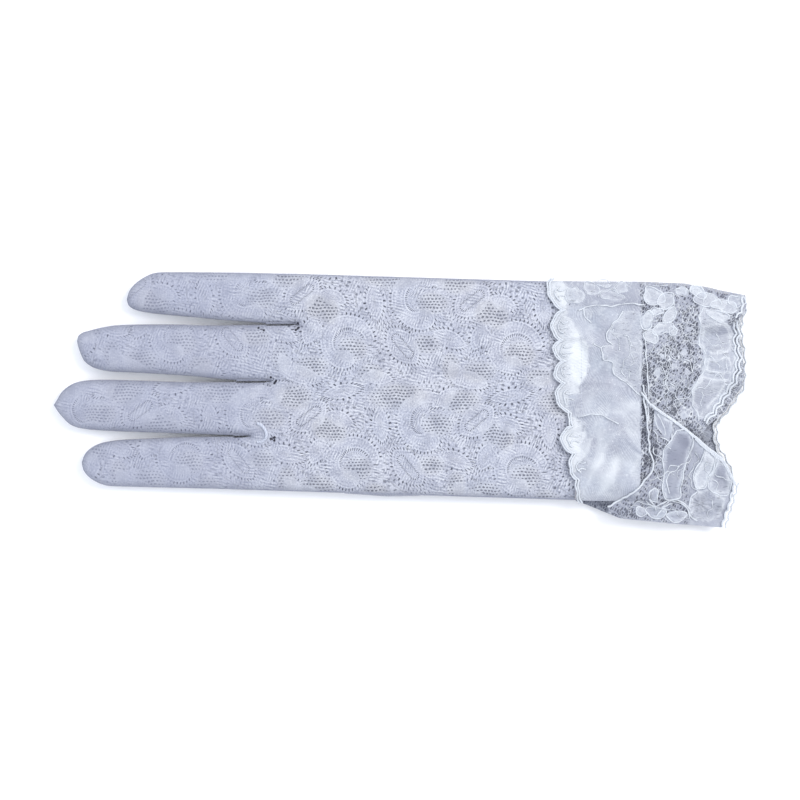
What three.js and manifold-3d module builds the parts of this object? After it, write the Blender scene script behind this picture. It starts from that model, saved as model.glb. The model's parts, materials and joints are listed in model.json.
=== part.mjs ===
// A right-hand ruffled lace glove, lying back of the hand up, with its thumb folded flat under the palm.
// Millimetres, +Z up. +X runs from the fingertips to the cuff, +Y is the little-finger side, and z = 0 is the surface it lies on.
// The origin is under the middle of the glove's outline. Every panel, side strip, seam and lace layer is its own solid.
import * as THREE from "three";
import { mergeVertices } from "three/addons/utils/BufferGeometryUtils.js";
import Module from "manifold-3d";

const wasm = await Module();
wasm.setup();

// ---- driving dimensions ----------------------------------------------------
const GRID = 0.42; // mm in one square of the cutting grid that the outlines below are drawn on
const GX = 399.6, GY = 399.5; // the grid point over the origin
const FAB = 0.8; // one layer of lace with its seam allowance
const GAP = 0.3; // clearance between neighbouring pieces
const PALM_Z = 3.3; // underside of the palm panel, over the folded thumb
const EDGE_Z = 8.3; // top of the back panel along the side seams
const CROWN = 2.4; // how much the back panel rises in the middle
const KNUCKLE_TOP = 9.9, MIDDLE_TOP = 9.5, TIP_TOP = 9.2; // top of a finger at its knuckle, middle joint and tip
const THUMB_T = 2.8; // the thumb pressed flat
const THUMB_HALF = 12, THUMB_LONG = 57; // its half width, and its length from the fold
const BAND_START = 577.7, CUFF_END = 640; // the plain hem band, on the cutting grid
const HEAD_START = 557; // where the ruffle's heading starts
const HINGE_X = 641; // the ruffle lifts from here
const HEM_Z = 9.2; // how high the ruffle's front hem lies

const X = (g) => (g - GX) * GRID;
const Y = (g) => (GY - g) * GRID;
const XY = (list) => list.map(([a, b]) => [X(a), Y(b)]);

// Side edges of the hand, as straight lines on the cutting grid.
const littleEdge = (g) => 273.6 + 0.03 * (g - 283);
const indexEdge = (g) => 489 + 0.0311 * (g - 222);

// ---- solids ----------------------------------------------------------------
function solidFrom(geometry) {
  const g = geometry.index ? geometry.toNonIndexed() : geometry;
  const only = new THREE.BufferGeometry().setAttribute("position", g.getAttribute("position"));
  const merged = mergeVertices(only, 1e-4);
  return new wasm.Manifold(
    new wasm.Mesh({
      numProp: 3,
      vertProperties: merged.attributes.position.array,
      triVerts: new Uint32Array(merged.index.array),
    }),
  );
}

function geometryOf(solid) {
  const m = solid.getMesh();
  const v = new Float32Array(m.numVert * 3);
  for (let i = 0; i < m.numVert; i++) v.set(m.vertProperties.subarray(i * m.numProp, i * m.numProp + 3), i * 3);
  const g = new THREE.BufferGeometry();
  g.setAttribute("position", new THREE.BufferAttribute(v, 3));
  g.setIndex(new THREE.BufferAttribute(new Uint32Array(m.triVerts), 1));
  g.computeVertexNormals();
  return g;
}

// An upright prism over a plan outline.
function prism(outline, z0, z1) {
  const shape = new THREE.Shape(outline.map(([x, y]) => new THREE.Vector2(x, y)));
  const g = new THREE.ExtrudeGeometry(shape, { depth: z1 - z0, bevelEnabled: false });
  g.translate(0, 0, z0);
  return solidFrom(g);
}

function block(x0, x1, y0, y1, z0, z1) {
  return prism([[x0, y0], [x1, y0], [x1, y1], [x0, y1]], z0, z1);
}

// A closed sheet over a grid of nu by nv cells: f(u, v) gives [x, y, underside, top], with u along X and v along Y.
function sheet(nu, nv, f) {
  const p = [];
  const at = (i, j, top) => {
    const [x, y, lo, hi] = f(i / nu, j / nv);
    return [x, y, top ? hi : lo];
  };
  const quad = (a, b, c, d) => p.push(...a, ...b, ...c, ...a, ...c, ...d);
  for (let i = 0; i < nu; i++)
    for (let j = 0; j < nv; j++) {
      quad(at(i, j, 1), at(i + 1, j, 1), at(i + 1, j + 1, 1), at(i, j + 1, 1));
      quad(at(i, j, 0), at(i, j + 1, 0), at(i + 1, j + 1, 0), at(i + 1, j, 0));
    }
  for (let i = 0; i < nu; i++) {
    quad(at(i, 0, 0), at(i + 1, 0, 0), at(i + 1, 0, 1), at(i, 0, 1));
    quad(at(i, nv, 0), at(i, nv, 1), at(i + 1, nv, 1), at(i + 1, nv, 0));
  }
  for (let j = 0; j < nv; j++) {
    quad(at(0, j, 0), at(0, j, 1), at(0, j + 1, 1), at(0, j + 1, 0));
    quad(at(nu, j, 0), at(nu, j + 1, 0), at(nu, j + 1, 1), at(nu, j, 1));
  }
  const g = new THREE.BufferGeometry();
  g.setAttribute("position", new THREE.BufferAttribute(new Float32Array(p), 3));
  return solidFrom(g);
}

// The outline moved inwards by d, for outlines drawn anticlockwise in plan.
function inset(outline, d) {
  const n = outline.length;
  return outline.map((p, i) => {
    const a = outline[(i + n - 1) % n], b = outline[(i + 1) % n];
    const dx = b[0] - a[0], dy = b[1] - a[1], l = Math.hypot(dx, dy);
    return [p[0] - (dy / l) * d, p[1] + (dx / l) * d];
  });
}

function cord(points, radius, steps, sides = 6) {
  const path = new THREE.CatmullRomCurve3(points.map(([x, y, z]) => new THREE.Vector3(x, y, z)));
  const ring = [];
  for (let i = 0; i < sides; i++) {
    const a = (i / sides) * 2 * Math.PI;
    ring.push(new THREE.Vector2(radius * Math.cos(a), radius * Math.sin(a)));
  }
  return solidFrom(new THREE.ExtrudeGeometry(new THREE.Shape(ring), { steps, extrudePath: path, bevelEnabled: false }));
}

const lerp = (a, b, t) => a + (b - a) * t;
const clamp = (t) => Math.min(1, Math.max(0, t));
const smooth = (t) => clamp(t) * clamp(t) * (3 - 2 * clamp(t));

// ---- materials -------------------------------------------------------------
const lace = new THREE.MeshStandardMaterial({ color: 0xd9deee, roughness: 0.85, metalness: 0 });
const strip = new THREE.MeshStandardMaterial({ color: 0xccd2e4, roughness: 0.85, metalness: 0 });
const thread = new THREE.MeshStandardMaterial({ color: 0xeef2fb, roughness: 0.6, metalness: 0 });
const satin = new THREE.MeshStandardMaterial({ color: 0xe2e6f1, roughness: 0.5, metalness: 0 });
const frill = new THREE.MeshStandardMaterial({ color: 0xdbe0ee, roughness: 0.8, metalness: 0 });

const root = new THREE.Group();
function add(name, solid, material) {
  const mesh = new THREE.Mesh(geometryOf(solid), material);
  mesh.name = name;
  root.add(mesh);
}

// ---- fingers ---------------------------------------------------------------
// Each outline runs from the knuckle along the little-finger side, round the tip and back along the thumb side.
const FINGERS = {
  little: {
    knuckle: 283, middle: 208,
    outline: [[283, 274], [230, 272.6], [170, 272], [156, 272.8], [147, 275], [140, 278.5], [133, 284], [128, 291], [126.5, 299], [128, 305.5], [133, 309.5], [142, 311.7], [158, 314], [190, 317], [222, 320], [254, 322], [283, 323.6]],
    outer: "side_seam", inner: "fourchette",
  },
  ring: {
    knuckle: 254, middle: 168,
    outline: [[254, 325.2], [206, 325.2], [182, 324.4], [150, 324.2], [118, 325], [102, 327.4], [91, 330.4], [82, 334], [77.5, 340], [78, 347], [80, 354], [84, 361], [90, 366], [97, 369], [110, 371.5], [134, 372.7], [158, 374], [190, 376], [214, 378.3], [238, 380], [254, 380.2]],
    outer: "outer_fourchette", inner: "inner_fourchette",
  },
  middle: {
    knuckle: 224, middle: 142,
    outline: [[224, 382], [182, 381.8], [158, 381], [134, 380.2], [102, 379.6], [84, 380.6], [74, 383], [66, 387], [60, 392.5], [56, 398.5], [53.4, 405], [57, 411.5], [62, 418], [69, 424], [77, 427.6], [86, 429.2], [96, 430.2], [118, 431.4], [158, 432.8], [206, 434], [224, 434.4]],
    outer: "outer_fourchette", inner: "inner_fourchette",
  },
  index: {
    knuckle: 222, middle: 155,
    outline: [[222, 437], [206, 436.6], [182, 437], [158, 438], [126, 439.4], [112, 440.8], [101, 443], [92, 447], [85, 453.5], [81.5, 462], [83, 470], [88, 476.5], [94, 481], [101, 484.2], [110, 486.2], [126, 486.8], [158, 487.6], [190, 488.3], [222, 489]],
    outer: "fourchette", inner: "side_seam",
  },
};

for (const [name, f] of Object.entries(FINGERS)) {
  const x0 = X(f.knuckle), x1 = X(f.middle), xt = X(Math.min(...f.outline.map((p) => p[0])));
  const top = (x) => (x > x1 ? lerp(MIDDLE_TOP, KNUCKLE_TOP, (x - x1) / (x0 - x1)) : lerp(TIP_TOP, MIDDLE_TOP, (x - xt) / (x1 - xt)));
  const low = (x) => (x > x1 ? lerp(0, PALM_Z, (x - x1) / (x0 - x1)) : 0);
  const plan = XY(f.outline); // runs anticlockwise seen from above: down the +Y side to the tip and back
  const whole = prism(plan, -5, 20);
  const inner = prism(inset(plan.map((p, i) => (i === 0 || i === plan.length - 1 ? [p[0] + 4, p[1]] : p)), FAB), -5, 20);
  const ring = whole.subtract(inner);
  const segments = { base: [x1 + GAP / 2, x0 - GAP], tip: [xt - 1, x1 - GAP / 2] };
  for (const [part, [xa, xb]] of Object.entries(segments)) {
    const layer = (lo, hi) => sheet(1, 1, (u, v) => {
      const x = lerp(xa, xb, u);
      return [x, lerp(-80, 80, v), lo(x), hi(x)];
    });
    add(`${name}_${part}_back_lace`, whole.intersect(layer((x) => top(x) - FAB, top)), lace);
    add(`${name}_${part}_palm_lace`, whole.intersect(layer(low, (x) => low(x) + FAB)), lace);
    const wall = ring.intersect(layer((x) => low(x) + FAB + GAP, (x) => top(x) - FAB - GAP));
    // The two side strips meet at the fingertip's point.
    const tipPoint = f.outline.reduce((a, b) => (b[0] < a[0] ? b : a));
    const mid = Y(tipPoint[1]);
    add(`${name}_${part}_${f.outer}`, wall.intersect(block(-200, 200, mid + GAP / 2, 100, -5, 20)), f.outer === "side_seam" ? thread : strip);
    add(`${name}_${part}_${f.inner}`, wall.intersect(block(-200, 200, -100, mid - GAP / 2, -5, 20)), f.inner === "side_seam" ? thread : strip);
  }
}

// ---- hand ------------------------------------------------------------------
const across = (g, v) => lerp(Y(indexEdge(g)), Y(littleEdge(g)), v); // v = 0 on the index side, 1 on the little-finger side
const crown = (v) => EDGE_Z + CROWN * (1 - Math.pow(Math.abs(2 * v - 1), 3));
function crossed(x, y) {
  const g = x / GRID + GX;
  return (y - across(g, 0)) / (across(g, 1) - across(g, 0));
}

// Where the fingers part from the hand, and the slits between them.
const steps = [
  block(-200, X(283), Y(324.6), 80, -5, 20), // little finger
  block(-200, X(254), Y(381.1), Y(324), -5, 20), // ring finger
  block(-200, X(224), Y(435.7), Y(380.5), -5, 20), // middle finger
  block(-200, X(222), -80, Y(435), -5, 20), // index finger
  block(-200, X(297), Y(325.2), Y(323.6), -5, 20), // little to ring slit
  block(-200, X(270), Y(381.9), Y(380.4), -5, 20), // ring to middle slit
  block(-200, X(250), Y(436.5), Y(434.9), -5, 20), // middle to index slit
];
const cutFingers = (s) => steps.reduce((a, b) => a.subtract(b), s);
const handSheet = (g0, g1, lo, hi, nv = 24) => sheet(1, nv, (u, v) => {
  const g = lerp(g0, g1, u);
  return [X(g), across(g, v), lo(v), hi(v)];
});
add("back_of_hand_lace", cutFingers(handSheet(215, 577, (v) => crown(v) - FAB, crown)), lace);
add("palm_lace", cutFingers(handSheet(215, 577, () => PALM_Z, () => PALM_Z + FAB, 1)), lace);
add("hem_band_back", handSheet(BAND_START, CUFF_END, (v) => crown(v) - FAB, crown), satin);
add("hem_band_palm", handSheet(BAND_START, CUFF_END, () => PALM_Z, () => PALM_Z + FAB, 1), satin);

// Side seams close the gap between the two panels. The thumb opens through the index side.
const seam = (g0, g1, side) => {
  const e = side ? littleEdge : indexEdge;
  const d = side ? -FAB : FAB;
  return sheet(1, 1, (u, v) => {
    const g = lerp(g0, g1, u);
    const y = Y(e(g));
    return [X(g), side ? lerp(y + d, y, v) : lerp(y, y + d, v), PALM_Z + FAB + GAP, EDGE_Z - FAB - GAP];
  });
};
add("little_side_seam", seam(284, CUFF_END, true), thread);
add("index_side_seam_above_thumb", seam(223, 344, false), thread);
add("index_side_seam_below_thumb", seam(420.5, CUFF_END, false), thread);

// Gussets that close the hand where two fingers part.
const gusset = (g0, g1, gy) => block(X(g0), X(g1), Y(gy) - FAB, Y(gy), PALM_Z + FAB + GAP, EDGE_Z - FAB - GAP);
add("little_ring_crotch_gusset", gusset(255, 298, 325.4), strip);
add("ring_middle_crotch_gusset", gusset(225, 271, 382.1), strip);
add("middle_index_crotch_gusset", gusset(225, 251, 436.7), strip);

// ---- thumb -----------------------------------------------------------------
// It folds under the palm about the index side edge, between the two index side seams.
const FOLD_G = 382;
const fold = [X(FOLD_G), Y(indexEdge(FOLD_G))];
const along = (() => { const l = Math.hypot(1, 0.0311); return [1 / l, -0.0311 / l]; })(); // the fold line, towards the cuff
const inward = [-along[1], along[0]];
const thumbDir = [-0.64, 0.7684], thumbSide = [0.7684, 0.64];
const thumbAt = (t, w) => [fold[0] + t * thumbDir[0] + w * thumbSide[0], fold[1] + t * thumbDir[1] + w * thumbSide[1]];
function thumbOutline(d) {
  const half = THUMB_HALF - d, centre = THUMB_LONG - THUMB_HALF;
  const list = [thumbAt(-40, half), thumbAt(20, half)];
  for (let i = 0; i <= 12; i++) {
    const a = (Math.PI / 2) * (1 - i / 6);
    list.push(thumbAt(centre + half * Math.cos(a), half * Math.sin(a)));
  }
  list.push(thumbAt(20, -half), thumbAt(-40, -half));
  return list;
}
const insideFold = prism([[-300, GAP], [300, GAP], [300, 200], [-300, 200]].map(([a, b]) => [
  fold[0] + a * along[0] + b * inward[0],
  fold[1] + a * along[1] + b * inward[1],
]), -5, 20);
const thumbLayer = (z0, z1) => prism(thumbOutline(0), z0, z1).intersect(insideFold);
add("thumb_back_lace", thumbLayer(0, FAB), lace);
add("thumb_palm_lace", thumbLayer(THUMB_T - FAB, THUMB_T), lace);
const thumbWall = thumbLayer(FAB + 0.2, THUMB_T - FAB - 0.2).subtract(prism(thumbOutline(FAB), -5, 20));
const halfPlane = (sign) => prism([[-60, sign > 0 ? 0.15 : -60], [120, sign > 0 ? 0.15 : -60], [120, sign > 0 ? 60 : -0.15], [-60, sign > 0 ? 60 : -0.15]].map(([t, w]) => thumbAt(t, w)).reverse(), -5, 20);
add("thumb_cuff_side_seam", thumbWall.intersect(halfPlane(1)), thread);
add("thumb_finger_side_seam", thumbWall.intersect(halfPlane(-1)), thread);

// ---- ruffle ----------------------------------------------------------------
// A double-scalloped lace strip: its heading lies on the hem band, and the frill hangs past the cuff with one pleat turned over on the index side.
const hx = X(HINGE_X);
const wave = (x, y) => 0.5 * smooth((x - hx) / 25) * Math.sin((2 * Math.PI * y) / 23);
function headZ(x, y) {
  const v = crossed(Math.min(x, hx), y);
  if (v >= 0 && v <= 1) return crown(v) + GAP;
  return EDGE_Z + GAP - (v < 0 ? -v : v - 1) * 91 * 0.3;
}
const frillZ = (x, y) => lerp(headZ(x, y), HEM_Z, smooth((x - hx) / 46)) + wave(x, y);
function laceLayer(g0, g1, lowZ, thick, nu, nv) {
  return sheet(nu, nv, (u, v) => {
    const x = X(lerp(g0, g1, u)), y = lerp(-58, 52, v);
    const z = lowZ(x, y);
    return [x, y, z, z + thick];
  });
}
// Scallops along a line of constant x: bulges of the given pitch.
function scalloped(gFrom, gTo, gx, pitch, depth) {
  const list = [];
  const n = Math.round(Math.abs(gTo - gFrom) / pitch), dir = Math.sign(gTo - gFrom);
  for (let i = 0; i < n; i++)
    for (let k = 0; k < 6; k++) {
      const t = (i + k / 6) / n;
      list.push([gx - depth * Math.abs(Math.sin((Math.PI * k) / 6)), gFrom + dir * t * Math.abs(gTo - gFrom)]);
    }
  list.push([gx, gTo]);
  return list;
}
const headLine = scalloped(284, 499, HEAD_START + 4, 23.9, 5); // little-finger side to index side
const headPlan = XY([...headLine, [575, 500], [588, 505.5], [600, 511], [612, 516], [624, 519], [CUFF_END, 520.5], [CUFF_END, 282.5]]);
add("ruffle_heading_back", laceLayer(545, CUFF_END, headZ, FAB, 2, 26).intersect(prism(headPlan, -5, 30)), frill);
const palmHeadZ = () => PALM_Z - GAP - FAB;
const palmHeadPlan = XY([...scalloped(286, 497, HEAD_START + 4, 23.4, 5), [CUFF_END, 512], [CUFF_END, 286]]);
add("ruffle_heading_palm", laceLayer(545, CUFF_END, palmHeadZ, FAB, 1, 1).intersect(prism(palmHeadPlan, -5, 30)), frill);

const frontHem = [[738, 296], [742.5, 306], [739, 318], [732.5, 322], [737.5, 331], [739, 345], [739.5, 365], [739, 384], [734, 397], [724, 410], [712, 425], [707, 440], [704, 458], [694, 478], [676, 496]];
const frontPlan = XY([[HINGE_X + 0.7, 283], [660, 283.5], [690, 287], [712, 291.2], ...frontHem.map(([a, b]) => [a - 2.6, b]), [655, 505], [HINGE_X + 0.7, 508]]);
add("ruffle_front_lace", laceLayer(HINGE_X, 748, frillZ, FAB, 14, 18).intersect(prism(frontPlan.reverse(), -5, 30)), frill);
const flapZ = (x, y) => frillZ(x, y) + FAB + 0.6;
const flapHem = [[734, 484.5], [730, 496], [725.5, 510], [720, 526.6]];
const flapPlan = XY([[HINGE_X + 0.7, 397.5], [664, 418.5], [690, 442.5], [714, 464.5], ...flapHem.map(([a, b]) => [a - 2.6, b]), [690, 524], [655, 521], [HINGE_X + 0.7, 519.5]]);
add("ruffle_pleat_lace", laceLayer(HINGE_X, 748, flapZ, FAB, 14, 18).intersect(prism(flapPlan.reverse(), -5, 30)), frill);
const palmFrillZ = (x, y) => lerp(PALM_Z - GAP - FAB, 0, smooth((x - hx) / 20));
const palmHem = [[735, 298], [741, 318], [743.2, 345], [743.5, 380], [736, 399], [722, 417], [716, 436], [719, 456], [729, 482], [724, 500], [716, 523]];
const palmPlan = XY([[HINGE_X + 0.7, 286], [690, 291], ...palmHem.map(([a, b]) => [a - 2.6, b]), [655, 519], [HINGE_X + 0.7, 516.5]]);
add("ruffle_palm_lace", laceLayer(HINGE_X, 748, palmFrillZ, FAB, 8, 1).intersect(prism(palmPlan.reverse(), -5, 30)), frill);

// Heavier cords that outline the scalloped edges.
const onto = (list, z, dg = 0) => list.map(([a, b]) => [X(a + dg), Y(b), z(X(a + dg), Y(b)) + FAB / 2]);
add("ruffle_heading_cord", cord(onto(headLine, headZ, -2.6), 0.5, 110), thread);
add("ruffle_front_hem_cord", cord(onto(frontHem, frillZ, 0.4), 0.5, 64), thread);
add("ruffle_pleat_hem_cord", cord(onto(flapHem, flapZ, 0.4), 0.5, 16), thread);
add("ruffle_palm_hem_cord", cord(onto(palmHem, (x, y) => palmFrillZ(x, y) + 0.15, 0.4), 0.5, 64), thread);

// The rows of stitches that hold the ruffle to the hem.
const stitchBack = sheet(1, 24, (u, v) => {
  const g = lerp(579, 580.6, u), y = lerp(across(g, 0.01), across(g, 0.99), v);
  const z = headZ(X(g), y) + FAB + GAP;
  return [X(g), y, z, z + 0.5];
});
add("ruffle_stitching_back", stitchBack, thread);
const stitchPalm = sheet(1, 1, (u, v) => {
  const g = lerp(579, 580.6, u);
  const z = PALM_Z - 2 * GAP - FAB - 0.5;
  return [X(g), lerp(across(g, 0.02), across(g, 0.98), v), z, z + 0.5];
});
add("ruffle_stitching_palm", stitchPalm, thread);

export default root;
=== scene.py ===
import json
import math

import bpy
import numpy as np
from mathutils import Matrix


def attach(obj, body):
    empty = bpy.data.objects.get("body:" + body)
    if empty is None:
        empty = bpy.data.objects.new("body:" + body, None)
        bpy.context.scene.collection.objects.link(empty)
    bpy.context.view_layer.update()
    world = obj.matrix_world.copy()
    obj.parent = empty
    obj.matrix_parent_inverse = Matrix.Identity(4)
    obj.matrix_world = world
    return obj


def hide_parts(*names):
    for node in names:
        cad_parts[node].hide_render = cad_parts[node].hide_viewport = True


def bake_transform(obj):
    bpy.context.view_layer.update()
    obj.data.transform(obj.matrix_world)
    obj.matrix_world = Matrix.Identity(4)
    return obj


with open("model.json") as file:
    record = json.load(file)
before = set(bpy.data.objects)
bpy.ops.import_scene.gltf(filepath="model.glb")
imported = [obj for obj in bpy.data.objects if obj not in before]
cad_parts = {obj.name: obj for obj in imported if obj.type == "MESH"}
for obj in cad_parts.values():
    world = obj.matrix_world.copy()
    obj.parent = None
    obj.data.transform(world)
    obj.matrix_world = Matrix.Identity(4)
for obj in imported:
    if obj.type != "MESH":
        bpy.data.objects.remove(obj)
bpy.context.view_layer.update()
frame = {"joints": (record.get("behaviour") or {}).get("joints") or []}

# ---------------------------------------------------------------- sizes, in metres
# Plan outlines are drawn on a 0.42 mm cutting grid: g runs from the fingertips to the cuff, h from the little finger to the index finger.
S = 0.42e-3
GX, GY = 399.6, 399.5
MM = 1e-3


def plan(points):
    a = np.asarray(points, float).reshape(-1, 2)
    return np.stack([(a[:, 0] - GX) * S, (GY - a[:, 1]) * S], 1)


def gx(g):
    return (np.asarray(g, float) - GX) * S


def hy(h):
    return (GY - np.asarray(h, float)) * S


def smooth(t):
    t = np.clip(t, 0, 1)
    return t * t * (3 - 2 * t)


def lerp(a, b, t):
    return a + (b - a) * t


# ---------------------------------------------------------------- seeded value noise, the same on every run
_table = np.random.RandomState(7).rand(256, 256)


def noise(x, y, scale, seed=0):
    """Smooth noise from 0 to 1 of points in metres, with cells of the given size."""
    x = np.asarray(x, float) / scale + 17.3 * seed + 40
    y = np.asarray(y, float) / scale + 9.1 * seed + 40
    i, j = np.floor(x).astype(int), np.floor(y).astype(int)
    fx, fy = x - i, y - j
    fx, fy = fx * fx * (3 - 2 * fx), fy * fy * (3 - 2 * fy)
    t = lambda a, b: _table[a % 256, b % 256]
    return lerp(lerp(t(i, j), t(i + 1, j), fx), lerp(t(i, j + 1), t(i + 1, j + 1), fx), fy)


# ---------------------------------------------------------------- outlines of the glove
FINGERS = {
    "little": dict(
        start=295.6, knuckle=283, middle=208, tip=(126.5, 299),
        outer=[(295.6, 273.9), (283, 273.8), (230, 272.6), (170, 272), (156, 272.6), (149, 274.6), (141, 279), (134, 284.5), (129, 291), (126.5, 299)],
        inner=[(126.5, 299), (128, 305), (133, 309), (142, 311.7), (158, 314), (190, 317), (222, 320), (254, 322.2), (268, 323.5), (283, 323.9), (295.6, 324.1)],
        sides=("side_seam", "fourchette")),
    "ring": dict(
        start=266.2, knuckle=254, middle=168, tip=(76.8, 341),
        outer=[(266.2, 324.7), (254, 325), (206, 325.2), (182, 324.4), (150, 324.2), (118, 325), (102, 327.2), (91, 330), (82, 332.5), (78, 335.5), (76.8, 341)],
        inner=[(76.8, 341), (78, 347), (80.5, 354), (84, 361), (90, 366), (97, 369), (110, 371.5), (134, 372.7), (158, 374), (190, 376), (214, 378.3), (238, 380.2), (254, 380.8), (266.2, 381)],
        sides=("outer_fourchette", "inner_fourchette")),
    "middle": dict(
        start=236.8, knuckle=224, middle=142, tip=(53.4, 405),
        outer=[(236.8, 381.6), (224, 382), (182, 381.8), (158, 381), (134, 380.2), (102, 379.6), (84, 380.6), (74, 383), (67, 387), (61, 392.5), (57.5, 398.5), (53.4, 405)],
        inner=[(53.4, 405), (57.5, 411.5), (63, 418), (69, 424), (77, 427.6), (86, 429.2), (96, 430.2), (118, 431.4), (158, 432.8), (206, 434.2), (224, 435), (236.8, 435.4)],
        sides=("outer_fourchette", "inner_fourchette")),
    "index": dict(
        start=234.0, knuckle=222, middle=155, tip=(81.5, 462),
        outer=[(234, 436.2), (222, 436.4), (206, 436.6), (182, 437), (158, 438), (126, 439.4), (112, 440.8), (101, 443), (92, 447), (85, 453.5), (81.5, 462)],
        inner=[(81.5, 462), (83, 470), (88, 476.5), (94, 481), (101, 484.2), (110, 486.2), (126, 486.8), (158, 487.6), (190, 488.3), (222, 489), (234, 489.4)],
        sides=("fourchette", "side_seam")),
}
CROTCHES = [(297.2, 324.5), (270.6, 381.3), (250.8, 435.9)]
CUFF = 640.0
BAND = 577.0


def little_edge(g):
    return 273.6 + 0.03 * (np.asarray(g, float) - 283)


def index_edge(g):
    return 489 + 0.0311 * (np.asarray(g, float) - 222)


def even(points, step):
    """The outline again, rounded through its points."""
    p = np.asarray(points, float)
    q = []
    e = np.vstack([2 * p[0] - p[1], p, 2 * p[-1] - p[-2]])
    for i in range(1, len(e) - 2):
        a, b, c, d = e[i - 1], e[i], e[i + 1], e[i + 2]
        n = max(1, int(np.hypot(*(c - b)) / step))
        for t in np.arange(n) / n:
            q.append(0.5 * (2 * b + (c - a) * t + (2 * a - 5 * b + 4 * c - d) * t * t + (3 * b - a - 3 * c + d) * t ** 3))
    q.append(p[-1])
    return [tuple(r) for r in q]


for f in FINGERS.values():
    f["outer"], f["inner"] = even(f["outer"], 3.0), even(f["inner"], 3.0)
for n, (outer, inner) in dict(little=(None, 0), ring=(0, 1), middle=(1, 2), index=(2, None)).items():
    FINGERS[n]["outer_crotch"], FINGERS[n]["inner_crotch"] = outer, inner

ring_of_points = [(CUFF + 20, float(little_edge(CUFF + 20)))]
for k, f in enumerate(FINGERS.values()):
    ring_of_points += f["outer"] + f["inner"][1:]
    if k < 3:
        ring_of_points.append(CROTCHES[k])
ring_of_points.append((CUFF + 20, float(index_edge(CUFF + 20))))
OUTLINE = plan(ring_of_points)


def distance_to(line, x, y, closed=False):
    """Distance from each point to a polyline, in metres."""
    a = line if not closed else np.vstack([line, line[:1]])
    best = np.full(np.shape(x), 1e9)
    for (x0, y0), (x1, y1) in zip(a[:-1], a[1:]):
        dx, dy = x1 - x0, y1 - y0
        l = dx * dx + dy * dy + 1e-18
        t = np.clip(((x - x0) * dx + (y - y0) * dy) / l, 0, 1)
        best = np.minimum(best, np.hypot(x - x0 - t * dx, y - y0 - t * dy))
    return best


# ---------------------------------------------------------------- how the glove is filled
ROUND = 9.5 * MM  # how far from an edge the glove reaches its full thickness


def lift(x):
    """0 at the fingertips, 1 on the hand."""
    return smooth((x - gx(130)) / (gx(290) - gx(130)))


def edge_z(x):
    return lerp(3.9 * MM, 5.9 * MM, lift(x))


def swell(d):
    t = np.clip(d / ROUND, 0, 1)
    return np.sqrt(np.clip(1 - (1 - t) ** 2, 0, 1))


def puckers(x, y):
    """The small bulges and gathers where the fingers are sewn together."""
    z = np.zeros(np.shape(x))
    for (g, h), size, out in (((258, 430.5), 7.0, 1.5), ((283, 330), 4.5, 0.5), ((262, 375), 4.5, 0.4), ((243, 441), 4, 0.4)):
        cx, cy = plan([(g, h)])[0]
        r = np.hypot((x - cx) / (size * 1.6 * MM), (y - cy) / (size * 0.62 * MM))
        z += out * MM * np.exp(-(r ** 4))
    for (g, h) in CROTCHES:
        cx, cy = plan([(g, h)])[0]
        r = np.hypot(x - cx, y - cy)
        a = np.arctan2(y - cy, x - cx)
        z += 0.35 * MM * np.exp(-r / (5 * MM)) * np.cos(7 * a + 1.1) * smooth(r / (1.5 * MM))
    return z


def back_z(x, y, d=None):
    d = distance_to(OUTLINE, x, y) if d is None else d
    top = lerp(8.9 * MM, 10.5 * MM, lift(x)) + 0.6 * MM * (noise(x, y, 26 * MM, 1) - 0.5) * smooth(d / (6 * MM))
    z = lerp(edge_z(x), top, swell(d))
    z = z + 0.35 * MM * (noise(x * 0.6, y * 1.5, 9 * MM, 2) - 0.5) * smooth(d / (4 * MM))
    return z + puckers(x, y)


def palm_z(x, y, d=None):
    d = distance_to(OUTLINE, x, y) if d is None else d
    low = lerp(0.35 * MM, 3.55 * MM, smooth((x - gx(150)) / (gx(275) - gx(150))))
    return lerp(edge_z(x), low, swell(d)) + 0.25 * MM * noise(x, y, 14 * MM, 5) * smooth(d / (5 * MM))


# ---------------------------------------------------------------- the stretch lace's repeating figure
REPEAT = np.array([[168.0, 6.0], [6.0, 120.5]])


def local(x, y, cx, cy, angle):
    a = math.radians(angle)
    dx, dy = x - cx, y - cy
    return dx * math.cos(a) + dy * math.sin(a), -dx * math.sin(a) + dy * math.cos(a)


def leaf(x, y, cx, cy, length, width, angle):
    """Signed distance, roughly, to a pointed oval: negative inside."""
    u, v = local(x, y, cx, cy, angle)
    a, b = length / 2, width / 2
    r = (a * a + b * b) / (2 * b)
    return np.hypot(u, np.abs(v) + (r - b)) - r


def curl(x, y, cx, cy, radius, turn, start, sweep, thick, hand=1):
    """Signed distance to a curl: a band that winds inwards and ends in a round drop."""
    best = np.full(np.shape(x), 1e9)
    n = 26
    for i in range(n + 1):
        t = i / n
        a = math.radians(start + hand * sweep * t)
        r = radius * (1 - turn * t ** 1.3)
        w = thick * (0.55 + 0.45 * math.sin(math.pi * min(1, 0.12 + t * 0.7)) + 0.55 * smooth((t - 0.72) / 0.28))
        best = np.minimum(best, np.hypot(x - cx - r * math.cos(a), y - cy - r * math.sin(a)) - w)
    return best


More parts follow.
